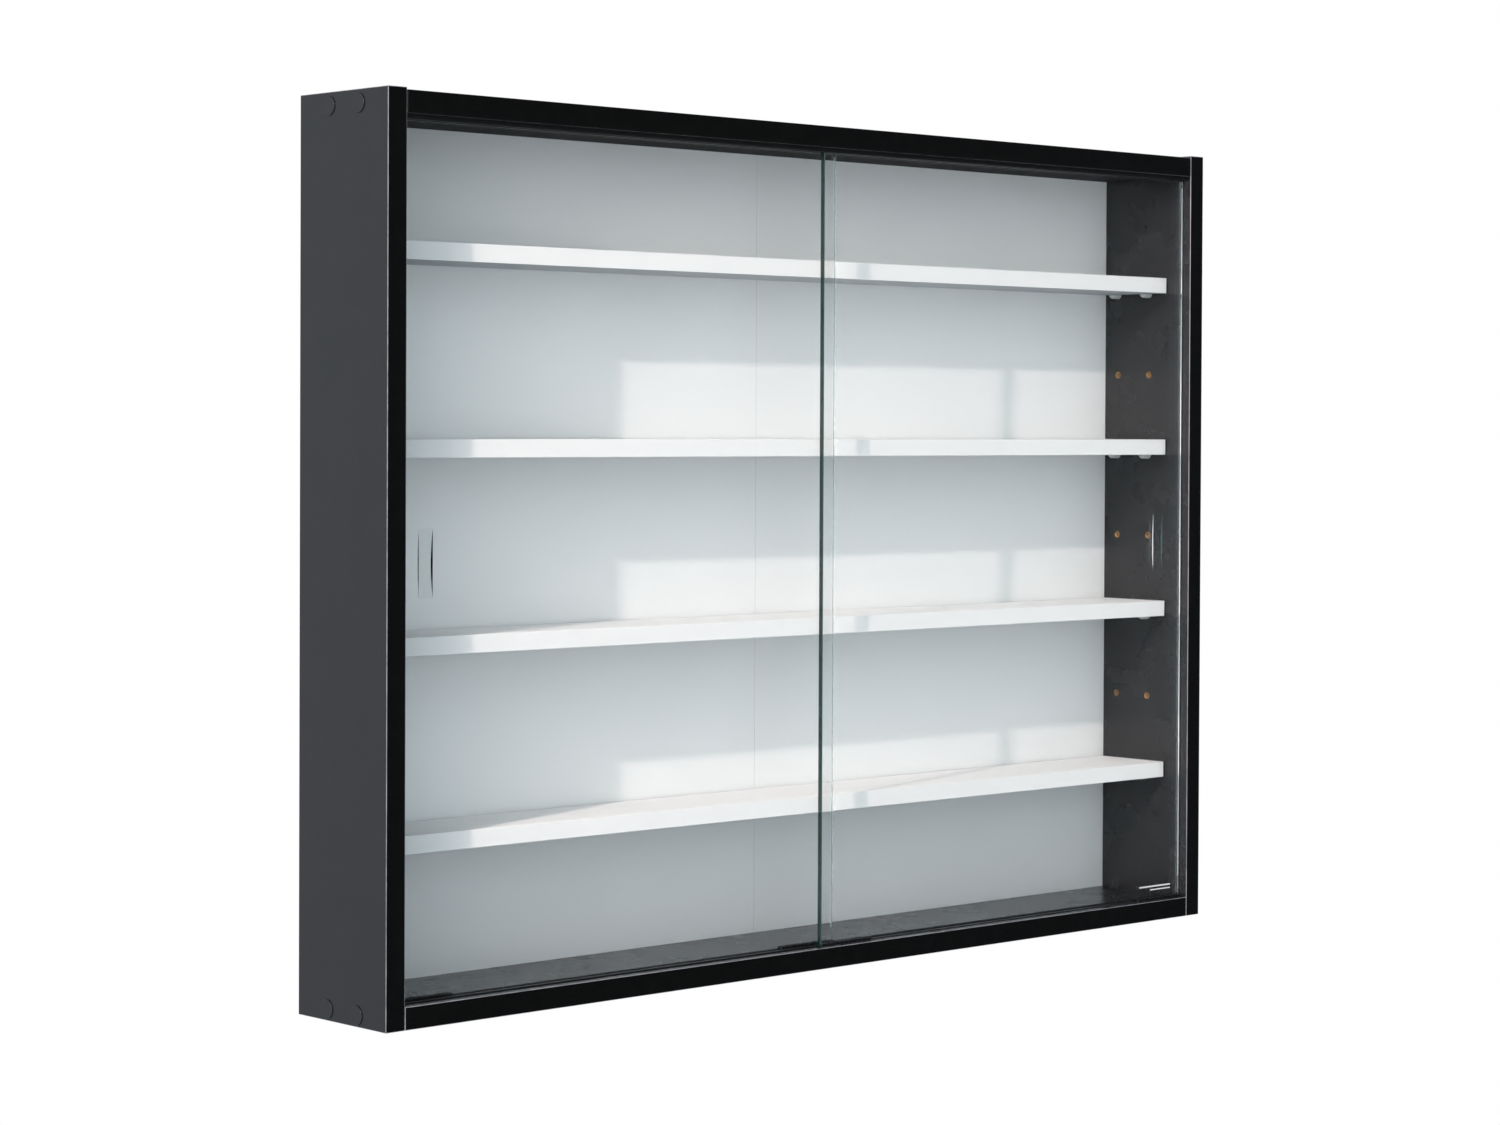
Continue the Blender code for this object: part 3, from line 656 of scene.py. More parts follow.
def add_box(shape, low, high):
    """Add a closed box to a shape and return its vertices."""
    middle = [(a + b) / 2 for a, b in zip(low, high)]
    scale = [b - a for a, b in zip(low, high)]
    matrix = Matrix.Translation(middle) @ Matrix.Diagonal((*scale, 1.0))
    return bmesh.ops.create_cube(shape, size=1.0, matrix=matrix)["verts"]


def new_prism(corners, push):
    """A closed outline of points pushed along a vector."""
    shape = bmesh.new()
    face = shape.faces.new([shape.verts.new(corner) for corner in corners])
    pushed = bmesh.ops.extrude_face_region(shape, geom=[face])
    verts = [item for item in pushed["geom"] if isinstance(item, bmesh.types.BMVert)]
    bmesh.ops.translate(shape, verts=verts, vec=push)
    bmesh.ops.recalc_face_normals(shape, faces=shape.faces)
    return shape


def new_turned(outline, sides):
    """An outline of (radius, height) points turned once round Z, with its ends closed."""
    shape = bmesh.new()
    corners = [shape.verts.new((radius, 0.0, height)) for radius, height in outline]
    edges = [shape.edges.new(pair) for pair in zip(corners, corners[1:])]
    bmesh.ops.spin(
        shape, geom=corners + edges, cent=(0, 0, 0), axis=(0, 0, 1), angle=math.tau,
        steps=sides, use_merge=True)
    bmesh.ops.remove_doubles(shape, verts=shape.verts, dist=SAME_CORNER)
    rims = [edge for edge in shape.edges if edge.is_boundary]
    if rims:
        bmesh.ops.holes_fill(shape, edges=rims, sides=0)
    bmesh.ops.recalc_face_normals(shape, faces=shape.faces)
    return shape


def soften(shape, edges, width, segments, material):
    """Round or chamfer some edges and give the new faces a material."""
    made = bmesh.ops.bevel(
        shape, geom=list(edges), offset=width, offset_type="OFFSET", segments=segments,
        profile=0.5, affect="EDGES", material=-1, clamp_overlap=True)
    for face in made["faces"]:
        face.material_index = material


def along(values, level):
    return all(abs(value - level) < SAME_PLACE for value in values)


def corner_edges(shape, low, high):
    """The edges that lie along the twelve corners of a box."""
    found = []
    for edge in shape.edges:
        planes = 0
        for axis in range(3):
            values = [vert.co[axis] for vert in edge.verts]
            planes += along(values, low[axis]) or along(values, high[axis])
        if planes == 2:
            found.append(edge)
    return found


def paint(shape, low, high, by_direction, elsewhere):
    """Give the faces on a box's six sides a material by the way they face, and others another."""
    for face in shape.faces:
        axis = max(range(3), key=lambda number: abs(face.normal[number]))
        outer = high[axis] if face.normal[axis] > 0 else low[axis]
        direction = ("+" if face.normal[axis] > 0 else "-") + "XYZ"[axis]
        on_box = along([vert.co[axis] for vert in face.verts], outer)
        face.material_index = by_direction.get(direction, elsewhere) if on_box else elsewhere


def face_under(shape, point, normal):
    """The flat face that a point lies on."""
    for face in shape.faces:
        level = abs((point - face.verts[0].co).dot(normal)) < SAME_PLACE
        if level and face.normal.dot(normal) > SAME_WAY:
            if bmesh.geometry.intersect_face_point(face, point):
                return face
    raise ValueError(f"no face lies under {tuple(point)}")


def cut_cell(shape, centre, normal, halves):
    """Cut a rectangle round a point on a flat face. Halves are its half sizes along X, Y and Z."""
    for axis in (2, 1, 0):
        if abs(normal[axis]) > 0.5:
            continue
        for sign in (-1, 1):
            face = face_under(shape, centre, normal)
            direction = Vector((0.0, 0.0, 0.0))
            direction[axis] = sign
            bmesh.ops.bisect_plane(
                shape, geom=[face, *face.edges, *face.verts], dist=SAME_CORNER,
                plane_co=centre + direction * halves[axis], plane_no=direction)
    return face_under(shape, centre, normal)


def push_in(shape, face, move, wall):
    """Push one face by a vector and give the walls it leaves a material."""
    pushed = bmesh.ops.extrude_discrete_faces(shape, faces=[face])["faces"][0]
    bmesh.ops.translate(shape, verts=pushed.verts, vec=move)
    for edge in pushed.edges:
        for side in edge.link_faces:
            if side is not pushed:
                side.material_index = wall


def round_rim(sides):
    """Angles and relative radii of a round rim."""
    return [(math.tau * step / sides, 1.0) for step in range(sides)]


def cross_rim(arm):
    """Angles and relative radii of a cross, where arm is half an arm's width over its length."""
    spread = math.atan(arm)
    notch = arm * math.sqrt(2.0) * math.cos(spread)
    rim = []
    for quarter in range(4):
        start = quarter * math.pi / 2
        rim += [
            (start, notch), (start + math.pi / 4 - spread, 1.0),
            (start + math.pi / 4 + spread, 1.0)]
    return rim


def sink(shape, centre, normal, rings, rim, wall, floor):
    """Sink a hole into a flat face. Rings are (radius, depth) pairs from the rim to the bottom."""
    mouth = rings[0][0]
    reach = mouth * CELL_REACH
    disc = cut_cell(shape, centre, normal, (reach, reach, reach))
    bmesh.ops.inset_individual(
        shape, faces=[disc], thickness=mouth * CELL_INSET, use_even_offset=True)
    bmesh.ops.bisect_edges(shape, edges=list(disc.edges), cuts=len(rim) // 4 - 1)
    corner = max(disc.verts, key=lambda vert: (vert.co - centre).length)
    order = list(disc.verts)
    at = order.index(corner)
    order = order[at:] + order[:at]
    start = (corner.co - centre).normalized()
    side = normal.cross(start)
    for number, (radius, depth) in enumerate(rings):
        if number:
            fresh = bmesh.ops.extrude_discrete_faces(shape, faces=[disc])["faces"][0]
            order = [
                next(
                    edge.other_vert(vert) for edge in vert.link_edges
                    if edge.other_vert(vert) in fresh.verts)
                for vert in order]
            disc = fresh
            for edge in disc.edges:
                for face in edge.link_faces:
                    if face is not disc:
                        face.material_index = wall
        for vert, (angle, share) in zip(order, rim):
            spoke = math.cos(angle) * start + math.sin(angle) * side
            vert.co = centre - normal * depth + spoke * radius * share
    disc.material_index = floor
    return disc


def join_discs(shape, first, second, wall):
    """Open two discs that face each other and join their rims by a wall."""
    rims = list(first.edges) + list(second.edges)
    bmesh.ops.delete(shape, geom=[first, second], context="FACES_ONLY")
    made = bmesh.ops.bridge_loops(shape, edges=rims)
    for face in made["faces"]:
        face.material_index = wall


def next_ring(shape, ring):
    """Extrude a closed ring of vertices and return the new one in the same order."""
    edges = [shape.edges.get(pair) for pair in zip(ring, ring[1:] + ring[:1])]
    made = bmesh.ops.extrude_edge_only(shape, edges=edges)["geom"]
    fresh = {item for item in made if isinstance(item, bmesh.types.BMVert)}
    return [
        next(edge.other_vert(vert) for edge in vert.link_edges if edge.other_vert(vert) in fresh)
        for vert in ring]


def shade(shape):
    """Shade curves smooth, with sharp edges at corners and round the flat outer sides."""
    corners = [vert.co for vert in shape.verts]
    sides = []
    for axis in range(3):
        values = [corner[axis] for corner in corners]
        sides += [(axis, min(values)), (axis, max(values))]
    flat = {
        face for face in shape.faces
        if any(along([vert.co[axis] for vert in face.verts], level) for axis, level in sides)}
    for face in shape.faces:
        face.smooth = True
    for edge in shape.edges:
        rim = len([face for face in edge.link_faces if face in flat]) == 1
        edge.smooth = edge.calc_face_angle(math.pi) < math.radians(32) and not rim


def make_piece(shape, name, body, recipes, replaced=()):
    """Turn a shape into a finished piece that rides on a body."""
    bmesh.ops.recalc_face_normals(shape, faces=shape.faces)
    shade(shape)
    mesh = bpy.data.meshes.new(name)
    shape.to_mesh(mesh)
    shape.free()
    for recipe in recipes:
        mesh.materials.append(finish(recipe))
    piece = bpy.data.objects.new(name, mesh)
    bpy.context.scene.collection.objects.link(piece)
    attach(piece, body)
    if replaced:
        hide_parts(*replaced)
    return piece


def middle_of(node):
    low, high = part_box(node)
    return (low + high) / 2


# Pieces


def groove_ys(node):
    """Front and rear of the groove that a piece sits in."""
    low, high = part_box(node)
    return low.y - PLAY, high.y + PLAY


def shelf_rows():
    """Heights of all rows of support holes, from the bottom one to the top one."""
    used = [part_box(f"shelf_support_{number}_left_front")[1].z - PIN_RADIUS
            for number in SHELF_NUMBERS]
    pitch = (max(used) - min(used)) / (ROW_COUNT - 1)
    return [min(used) + row * pitch for row in range(ROW_COUNT)]


BOARD_FINISHES = (
    satin_charcoal_melamine, black_edge_band, raw_chipboard, painted_corner_highlight,
    matt_charcoal_with_painted_shade)
FACE, BAND, RAW, EDGE_HIGHLIGHT, SHADED_MATT = range(5)


def make_side_board(end, side, sizes):
    """A side board with its back groove, support holes, screw holes and hanger pocket."""
    node = f"{end}_side_panel"
    low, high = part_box(node)
    outer, inner = (low.x, high.x) if side < 0 else (high.x, low.x)
    groove_front, groove_rear = groove_ys("back_panel_left")
    back_low, back_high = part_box(f"back_panel_{end}")
    groove_floor = (back_low.x if side < 0 else back_high.x) + side * PLAY
    outline = (
        (outer, low.y), (inner, low.y), (inner, groove_front), (groove_floor, groove_front),
        (groove_floor, groove_rear), (inner, groove_rear), (inner, high.y), (outer, high.y))
    shape = new_prism([(x, y, low.z) for x, y in outline], (0.0, 0.0, high.z - low.z))
    paint(shape, low, high, {"-X": FACE, "+X": FACE, "-Y": BAND, "+Z": BAND, "-Z": BAND}, RAW)
    # The bevelled corners take the pale arris colour: a painted highlight
    soften(shape, corner_edges(shape, low, high), sizes.board_arris, 2, EDGE_HIGHLIGHT)

    inwards = Vector((-side, 0.0, 0.0))
    rim = round_rim(24)
    rows = shelf_rows()
    for where in DEPTHS:
        depth = middle_of(f"shelf_support_1_{end}_{where}").y
        for height in rows:
            sink(
                shape, Vector((inner, depth, height)), inwards,
                ((PIN_HOLE_RADIUS + sizes.hole_rim, 0.0), (PIN_HOLE_RADIUS, sizes.hole_rim),
                 (PIN_HOLE_RADIUS, PIN_HOLE_DEPTH)), rim, RAW, RAW)
    for level in LEVELS:
        for where in DEPTHS:
            axis = middle_of(f"connecting_screw_{level}_{end}_{where}")
            rings = (
                (HEAD_HOLE_RADIUS + sizes.hole_rim, 0.0), (HEAD_HOLE_RADIUS, sizes.hole_rim),
                (HEAD_HOLE_RADIUS, HEAD_HOLE_DEPTH), (SHANK_HOLE_RADIUS, SHANK_HOLE_START))
            entry = sink(
                shape, Vector((outer, axis.y, axis.z)), -inwards, rings, rim, RAW, RAW)
            exit_disc = sink(
                shape, Vector((inner, axis.y, axis.z)), inwards,
                ((SHANK_HOLE_RADIUS, 0.0),), rim, RAW, RAW)
            join_discs(shape, entry, exit_disc, RAW)
    pocket_hanger(shape, end)
    return make_piece(
        shape, f"{end}_side_board", "cabinet", BOARD_FINISHES, (node,))


def pocket_hanger(shape, end):
    """Rout the pocket for a hanger plate into a side board's rear edge, with room for the head of
    the wall screw, and drill for the plate's screws."""
    plate_low, plate_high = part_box(f"{end}_hanger_plate")
    middle = (plate_low + plate_high) / 2
    wall = Vector((0.0, 1.0, 0.0))
    floor_y = plate_low.y - PLAY / 6
    half = (plate_high - plate_low) / 2 + Vector((PLAY, PLAY, PLAY))
    cell = cut_cell(shape, Vector((middle.x, 0.0, middle.z)), wall, half)
    push_in(shape, cell, (0.0, floor_y, 0.0), RAW)
    room_half_width, room_half_height, room_depth = 0.004, 0.008, 0.008
    room = cut_cell(
        shape, Vector((middle.x, floor_y, middle.z)), wall,
        (room_half_width, 0.0, room_half_height))
    push_in(shape, room, (0.0, -room_depth - floor_y, 0.0), RAW)
    pilot, tip, pilot_depth, tip_depth = 0.0018, 0.0004, 0.0148, 0.0158
    for where in HANGER_SCREW_PLACES:
        axis = middle_of(f"{end}_hanger_screw_{where}")
        sink(
            shape, Vector((axis.x, floor_y, axis.z)), wall,
            ((pilot, 0.0), (pilot, pilot_depth), (tip, tip_depth)), round_rim(16), RAW, RAW)


def make_level_board(level, sizes):
    """The top or bottom board with its grooves for the back and the door track."""
    node = f"{level}_panel"
    low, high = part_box(node)
    top = level == "top"
    face, outer = (low.z, high.z) if top else (high.z, low.z)
    outwards = 1 if top else -1
    track_front, track_rear = groove_ys(f"{level}_track")
    back_front, back_rear = groove_ys("back_panel_left")
    track_low, track_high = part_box(f"{level}_track")
    back_low, back_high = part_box("back_panel_left")
    track_floor = (track_high.z if top else track_low.z) + outwards * PLAY
    back_floor = (back_high.z if top else back_low.z) + outwards * PLAY
    outline = (
        (low.y, outer), (low.y, face), (track_front, face), (track_front, track_floor),
        (track_rear, track_floor), (track_rear, face), (back_front, face),
        (back_front, back_floor), (back_rear, back_floor), (back_rear, face), (high.y, face),
        (high.y, outer))
    shape = new_prism([(low.x, y, z) for y, z in outline], (high.x - low.x, 0.0, 0.0))
    # The top board's underside and the track grooves take the darker matt finish: painted shade
    paint(shape, low, high, {"-Z": SHADED_MATT if top else FACE, "+Z": FACE, "-Y": BAND}, RAW)
    for cut in shape.faces:
        in_groove = track_front - PLAY < cut.calc_center_median().y < track_rear + PLAY
        if cut.material_index == RAW and in_groove and abs(cut.normal.x) < 0.5:
            cut.material_index = SHADED_MATT
    # The bottom board's corners take the pale arris, a painted highlight; the top board's stay as
    # dark as its band
    soften(
        shape, corner_edges(shape, low, high), sizes.board_arris, 2, BAND if top else EDGE_HIGHLIGHT)
    for end, side in ENDS:
        end_x = low.x if side < 0 else high.x
        for where in DEPTHS:
            axis = middle_of(f"connecting_screw_{level}_{end}_{where}")
            sink(
                shape, Vector((end_x, axis.y, axis.z)), Vector((side, 0.0, 0.0)),
                ((SHANK_HOLE_RADIUS, 0.0), (SHANK_HOLE_RADIUS, SHANK_HOLE_DEPTH)),
                round_rim(24), RAW, RAW)
    return make_piece(
        shape, f"{level}_board", "cabinet", BOARD_FINISHES, (node,))


def make_back_half(end):
    """One half of the thin back: white in front, raw behind."""
    node = f"back_panel_{end}"
    low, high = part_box(node)
    joint = -JOINT_GAP / 2 if end == "left" else JOINT_GAP / 2
    if end == "left":
        high.x = joint
    else:
        low.x = joint
    shape = new_box(low, high)
    paint(shape, low, high, {"-Y": 0}, 1)
    outer_edges = [
        edge for edge in corner_edges(shape, low, high)
        if not along([vert.co.x for vert in edge.verts], joint)]
    worn = 0.0003
    soften(shape, outer_edges, worn, 2, 0)
    return make_piece(
        shape, f"back_half_{end}", "cabinet", (white_foil_hardboard, screened_hardboard),
        (node,))


def make_tape():
    """Paper tape over the joint, cut a little wavy along both sides."""
    low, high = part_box("back_joint_tape")
    shape = new_box(low, high)
    steps = 60
    unevenness = 0.0002
    long_wave, short_wave = 61.0, 173.0
    for step in range(1, steps):
        level = low.z + (high.z - low.z) * step / steps
        bmesh.ops.bisect_plane(
            shape, geom=[*shape.faces, *shape.edges, *shape.verts], dist=SAME_CORNER,
            plane_co=(0.0, 0.0, level), plane_no=(0.0, 0.0, 1.0))
    for vert in shape.verts:
        wave = math.sin(vert.co.z * long_wave) + math.sin(vert.co.z * short_wave + 1.0)
        vert.co.x -= math.copysign(unevenness * (2.0 + wave), vert.co.x)
    return make_piece(
        shape, "back_tape", "cabinet", (kraft_tape,), ("back_joint_tape",))


def make_shelf(number, sizes):
    """A shelf board with banded edges and softly rounded corners."""
    node = f"shelf_{number}"
    low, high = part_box(node)
    shape = new_box(low, high)
    # The underside takes the grey finish: painted shade under the shelf
    paint(shape, low, high, {"-Z": 1}, 0)
    soften(shape, shape.edges[:], sizes.shelf_arris, 3, 0)
    return make_piece(
        shape, f"shelf_board_{number}", "cabinet", (white_melamine, grey_painted_shade_under_shelf), (node,))


def make_support(number, end, side, where):
    """A shelf support: a round pin in the board and a half-round tongue with a flat top."""
    node = f"shelf_support_{number}_{end}_{where}"
    low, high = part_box(node)
    start, reach = (low.x, high.x - low.x) if side < 0 else (high.x, low.x - high.x)
    axis_y = (low.y + high.y) / 2
    axis_z = high.z - PIN_RADIUS
    tongue_length = 0.0092
    pin_end = (abs(reach) - tongue_length) / abs(reach)
    flat = 0.0002
    tongue = (high.y - low.y) / 2
    drop = axis_z + flat - low.z
    # Share of the length, half width, height over the axis, depth under it, and lift
    stations = [
        (share, part * PIN_RADIUS, part * PIN_RADIUS, part * PIN_RADIUS, 0.0)
        for share, part in ((0.0, 0.65), (0.035, 0.95), (0.05, 1.0), (pin_end, 1.0))]
    stations += [
        (share, wide * tongue, 0.0, deep * drop, flat)
        for share, wide, deep in (
            (pin_end, 0.95, 0.95), (pin_end + 0.012, 1.0, 1.0), (0.86, 1.0, 1.0),
            (0.93, 0.92, 0.85), (0.98, 0.75, 0.62), (1.0, 0.55, 0.4))]
    sides = 32
    shape = bmesh.new()
    ring = list(bmesh.ops.create_circle(shape, segments=sides, radius=1.0)["verts"])
    angles = [math.atan2(vert.co.y, vert.co.x) for vert in ring]
    for count, (share, half_width, rise, fall, lift) in enumerate(stations):
        if count:
            ring = next_ring(shape, ring)
        for vert, angle in zip(ring, angles):
            height = math.sin(angle)
            vert.co = (
                start + reach * share, axis_y + half_width * math.cos(angle),
                axis_z + lift + height * (rise if height > 0 else fall))
    bmesh.ops.holes_fill(
        shape, edges=[edge for edge in shape.edges if edge.is_boundary], sides=0)
    return make_piece(
        shape, f"support_{number}_{end}_{where}", "cabinet", (moulded_nylon,), (node,))


def make_track(level, sizes):
    """A two-channel door track with rounded lips."""
    node = f"{level}_track"
    low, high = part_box(node)
    top = level == "top"
    lips, web = (low.z, high.z) if top else (high.z, low.z)
    inwards = -1 if top else 1
    wall = 0.0012
    rib = 0.0024
    channel = (high.y - low.y - 2 * wall - rib) / 2
    web_inner = web + inwards * wall
    ribs = (
        (low.y, low.y + wall), (low.y + wall + channel, low.y + wall + channel + rib),
        (high.y - wall, high.y))
    outline = [(high.y, web), (low.y, web)]
    for number, (front, rear) in enumerate(ribs):
        if number:
            outline.append((front, web_inner))
        outline += [(front, lips), (rear, lips)]
        if number < len(ribs) - 1:
            outline.append((rear, web_inner))
    shape = new_prism([(low.x, y, z) for y, z in outline], (high.x - low.x, 0.0, 0.0))
    lip_edges = [
        edge for edge in shape.edges
        if along([vert.co.z for vert in edge.verts], lips)
        and abs(edge.verts[0].co.x - edge.verts[1].co.x) > SAME_PLACE]
    soften(shape, lip_edges, sizes.track_lip, 4, 0)
    return make_piece(
        shape, f"{level}_door_track", "cabinet", (extruded_black_pvc,), (node,))


DOOR_FINISHES = (clear_toughened_glass, polished_glass_edge, ground_glass, clear_glass_edge)
PANE, GREEN_EDGE, GROUND, CLEAR_EDGE = range(4)


def make_door(end, side, sizes):
    """A glass door with chamfered edges and a finger pull ground into its front."""
    node = f"{end}_glass_door"
    low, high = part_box(node)
    shape = new_box(low, high)
    paint(shape, low, high, {"-Y": PANE, "+Y": PANE, "+X": CLEAR_EDGE}, GREEN_EDGE)
    for level, material in ((low.x, GREEN_EDGE), (high.x, CLEAR_EDGE)):
        upright_side = [
            edge for edge in corner_edges(shape, low, high)
            if along([vert.co.x for vert in edge.verts], level)]
        soften(shape, upright_side, sizes.glass_arris, 1, material)
    outer = low.x if side < 0 else high.x
    centre = Vector((
        outer - side * sizes.pull_inset, low.y, (low.z + high.z) / 2 - sizes.pull_drop))
    grind_pull(shape, centre, sizes)
    return make_piece(
        shape, f"{end}_door", f"{end}_door", DOOR_FINISHES, (node,))


def grind_pull(shape, centre, sizes):
    """Grind a finger pull with a wheel: straight walls, and a floor deepest at its middle."""
    half = sizes.pull_length / 2
    front = Vector((0.0, -1.0, 0.0))
    cell = cut_cell(shape, centre, front, (sizes.pull_width / 2, 0.0, half))
    strips = [cell]
    strip_count = 28
    for step in range(1, strip_count):
        level = centre.z - half + sizes.pull_length * step / strip_count
        parts = {item for face in strips for item in (face, *face.edges, *face.verts)}
        made = bmesh.ops.bisect_plane(
            shape, geom=list(parts), dist=SAME_CORNER, plane_co=(0.0, 0.0, level),
            plane_no=(0.0, 0.0, 1.0))
        strips = [item for item in made["geom"] if isinstance(item, bmesh.types.BMFace)]
    pushed = bmesh.ops.extrude_face_region(shape, geom=strips)["geom"]
    bmesh.ops.delete(shape, geom=strips, context="FACES")
    radius = (half ** 2 + sizes.pull_depth ** 2) / (2 * sizes.pull_depth)
    floor_verts = [item for item in pushed if isinstance(item, bmesh.types.BMVert)]
    floor_faces = [item for item in pushed if isinstance(item, bmesh.types.BMFace)]
    for vert in floor_verts:
        offset = vert.co.z - centre.z
        vert.co.y += max(
            0.0, sizes.pull_depth - radius + math.sqrt(radius ** 2 - offset ** 2))
    for face in {side for vert in floor_verts for side in vert.link_faces}:
        face.material_index = CLEAR_EDGE
    for face in floor_faces:
        face.material_index = GROUND
    bmesh.ops.remove_doubles(shape, verts=shape.verts, dist=1e-6)


def make_glider(end, where, sizes):
    """A door glider: a shoe that holds the glass edge and slides in the channel."""
    node = f"{end}_door_glider_{where}"
    low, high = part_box(node)
    glass_low, glass_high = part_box(f"{end}_glass_door")
    inner = (glass_low.y - PLAY, glass_high.y + PLAY)
    slot = glass_low.z - PLAY
    outline = (
        (low.y, low.z), (high.y, low.z), (high.y, high.z), (inner[1], high.z), (inner[1], slot),
        (inner[0], slot), (inner[0], high.z), (low.y, high.z))
    shape = new_prism([(low.x, y, z) for y, z in outline], (high.x - low.x, 0.0, 0.0))
    soften(shape, corner_edges(shape, low, high), sizes.glider_edge, 3, 0)
    return make_piece(
        shape, f"{end}_glider_{where}", f"{end}_door", (moulded_black_acetal,), (node,))


def make_print():
    """Two plain bars printed in white near the right door's lower corner."""
    low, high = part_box("right_glass_door")
    margin, height_over_edge = 0.0105, 0.0122
    right = high.x - margin
    base = low.z + height_over_edge
    front, rear = low.y - 0.00003, low.y - 0.00001
    corner = 0.0004
    shape = bmesh.new()
    for width, start, height in ((0.024, 0.0, 0.0009), (0.037, 0.0026, 0.0011)):
        left = right - width
        verts = add_box(
            shape, (left, front, base + start), (left + width, rear, base + start + height))
        through_ink = [
            edge for edge in {edge for vert in verts for edge in vert.link_edges}
            if abs(edge.verts[0].co.y - edge.verts[1].co.y) > 1e-6]
        soften(shape, through_ink, corner, 4, 0)
    return make_piece(shape, "right_door_print", "right_door", (white_screen_print,))


def make_cap(level, end, side, where):
    """A stick-on cap over a connecting screw: a thin disc with a rolled rim."""
    node = f"screw_cap_{level}_{end}_{where}"
    low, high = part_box(node)
    radius = (high.z - low.z) / 2
    thick = high.x - low.x
    rolled = [
        (radius - thick * 0.5 * (1 - math.cos(turn)), thick * (0.5 + 0.5 * math.sin(turn)))
        for turn in (0.0, math.pi / 6, math.pi / 3, math.pi / 2)]
    outline = [(0.0, 0.0), (radius, 0.0), *rolled, (0.0, thick)]
    shape = new_turned(outline, 48)
    base = low.x if side > 0 else high.x
    matrix = Matrix.Translation((base, (low.y + high.y) / 2, (low.z + high.z) / 2))
    bmesh.ops.transform(
        shape, verts=shape.verts, matrix=matrix @ Matrix.Rotation(side * math.pi / 2, 4, "Y"))
    return make_piece(
        shape, f"cap_{level}_{end}_{where}", "cabinet", (charcoal_foil,), (node,))


def loop_edges(shape, points):
    """Join points into a closed loop and return its edges."""
    verts = [shape.verts.new(point) for point in points]
    return [shape.edges.new(pair) for pair in zip(verts, verts[1:] + verts[:1])]


def make_hanger_plate(end):
    """A stamped plate with a keyhole and two countersunk holes."""
    node = f"{end}_hanger_plate"
    low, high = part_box(node)
    middle = (low + high) / 2
    entry, slot, rise = 0.004, 0.0022, 0.004
    screw_hole, countersink = 0.0018, 0.0014
    corner = 0.0015
    loops = []
    outer = []
    for quarter, (across, up) in enumerate(((1, 1), (-1, 1), (-1, -1), (1, -1))):
        for step in range(5):
            turn = (quarter + step / 4) * math.pi / 2
            outer.append((
                across * ((high.x - low.x) / 2 - corner) + corner * math.cos(turn),
                up * ((high.z - low.z) / 2 - corner) + corner * math.sin(turn)))
    loops.append(outer)
    opening = math.asin(slot / entry)
    keyhole = []
    for step in range(25):
        turn = opening + (math.tau - 2 * opening) * step / 24
        keyhole.append((entry * math.sin(turn), -rise + entry * math.cos(turn)))
    for step in range(13):
        turn = math.pi * step / 12
        keyhole.append((-slot * math.cos(turn), rise + slot * math.sin(turn)))
    loops.append(keyhole)
    screws = [
        middle_of(f"{end}_hanger_screw_{where}").z - middle.z for where in HANGER_SCREW_PLACES]
    for height in screws:
        loops.append([
            (screw_hole * share * math.cos(turn), height + screw_hole * share * math.sin(turn))
            for turn, share in round_rim(24)])
    shape = bmesh.new()
    edges = []
    for loop in loops:
        edges += loop_edges(shape, [(middle.x + x, low.y, middle.z + z) for x, z in loop])
    bmesh.ops.triangle_fill(shape, edges=edges, use_beauty=True)
    pushed = bmesh.ops.extrude_face_region(shape, geom=shape.faces[:])["geom"]
    rear = [item for item in pushed if isinstance(item, bmesh.types.BMVert)]
    bmesh.ops.translate(shape, verts=rear, vec=(0.0, high.y - low.y, 0.0))
    for vert in rear:
        for height in screws:
            spoke = Vector((vert.co.x - middle.x, 0.0, vert.co.z - middle.z - height))
            if spoke.length < screw_hole + SAME_PLACE:
                vert.co += spoke.normalized() * countersink
    return make_piece(
        shape, f"{end}_hanger", "cabinet", (zinc_plated_steel,), (node,))


def make_hanger_screw(end, where):
    """A countersunk chipboard screw with a cross recess, whose thread is cut as rings."""
    node = f"{end}_hanger_screw_{where}"
    low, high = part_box(node)
    length = high.y - low.y
    head, core, crest = 0.0029, 0.0010, 0.0015
    pitch, thread_start, point = 0.0012, 0.0028, 0.0026
    outline = [(head - 0.0001, 0.0), (head, 0.0001), (crest, 0.0012), (0.0013, 0.0024)]
    for turn in range(7):
        start = thread_start + turn * pitch
        outline += [(core, start), (crest, start + 0.45 * pitch), (crest, start + 0.5 * pitch)]
    outline += [(core, length - point), (0.0003, length)]
    shape = new_turned(outline, 24)
    recess = ((0.0017, 0.0), (0.0011, 0.0011))
    sink(
        shape, Vector((0.0, 0.0, 0.0)), Vector((0.0, 0.0, -1.0)), recess, cross_rim(0.28), 0, 0)
    matrix = Matrix.Translation(((low.x + high.x) / 2, high.y, (low.z + high.z) / 2))
    bmesh.ops.transform(
        shape, verts=shape.verts, matrix=matrix @ Matrix.Rotation(math.pi / 2, 4, "X"))
    return make_piece(
        shape, f"{end}_screw_{where}", "cabinet", (zinc_plated_steel,), (node,))


# Operators


class SHOWCASE_OT_boards(bpy.types.Operator):
    """Make the side, top and bottom boards of the carcass"""

    bl_idname = "showcase.boards"
    bl_label = "Carcass Boards"

    def execute(self, context):
        sizes = context.scene.showcase_sizes
        for end, side in ENDS:
            make_side_board(end, side, sizes)
        for level in LEVELS:
            make_level_board(level, sizes)
        return {"FINISHED"}


class SHOWCASE_OT_back(bpy.types.Operator):
    """Make both halves of the back and the tape over their joint"""

    bl_idname = "showcase.back"
    bl_label = "Back"

    def execute(self, context):
        for end, _ in ENDS:
            make_back_half(end)
        make_tape()
        return {"FINISHED"}


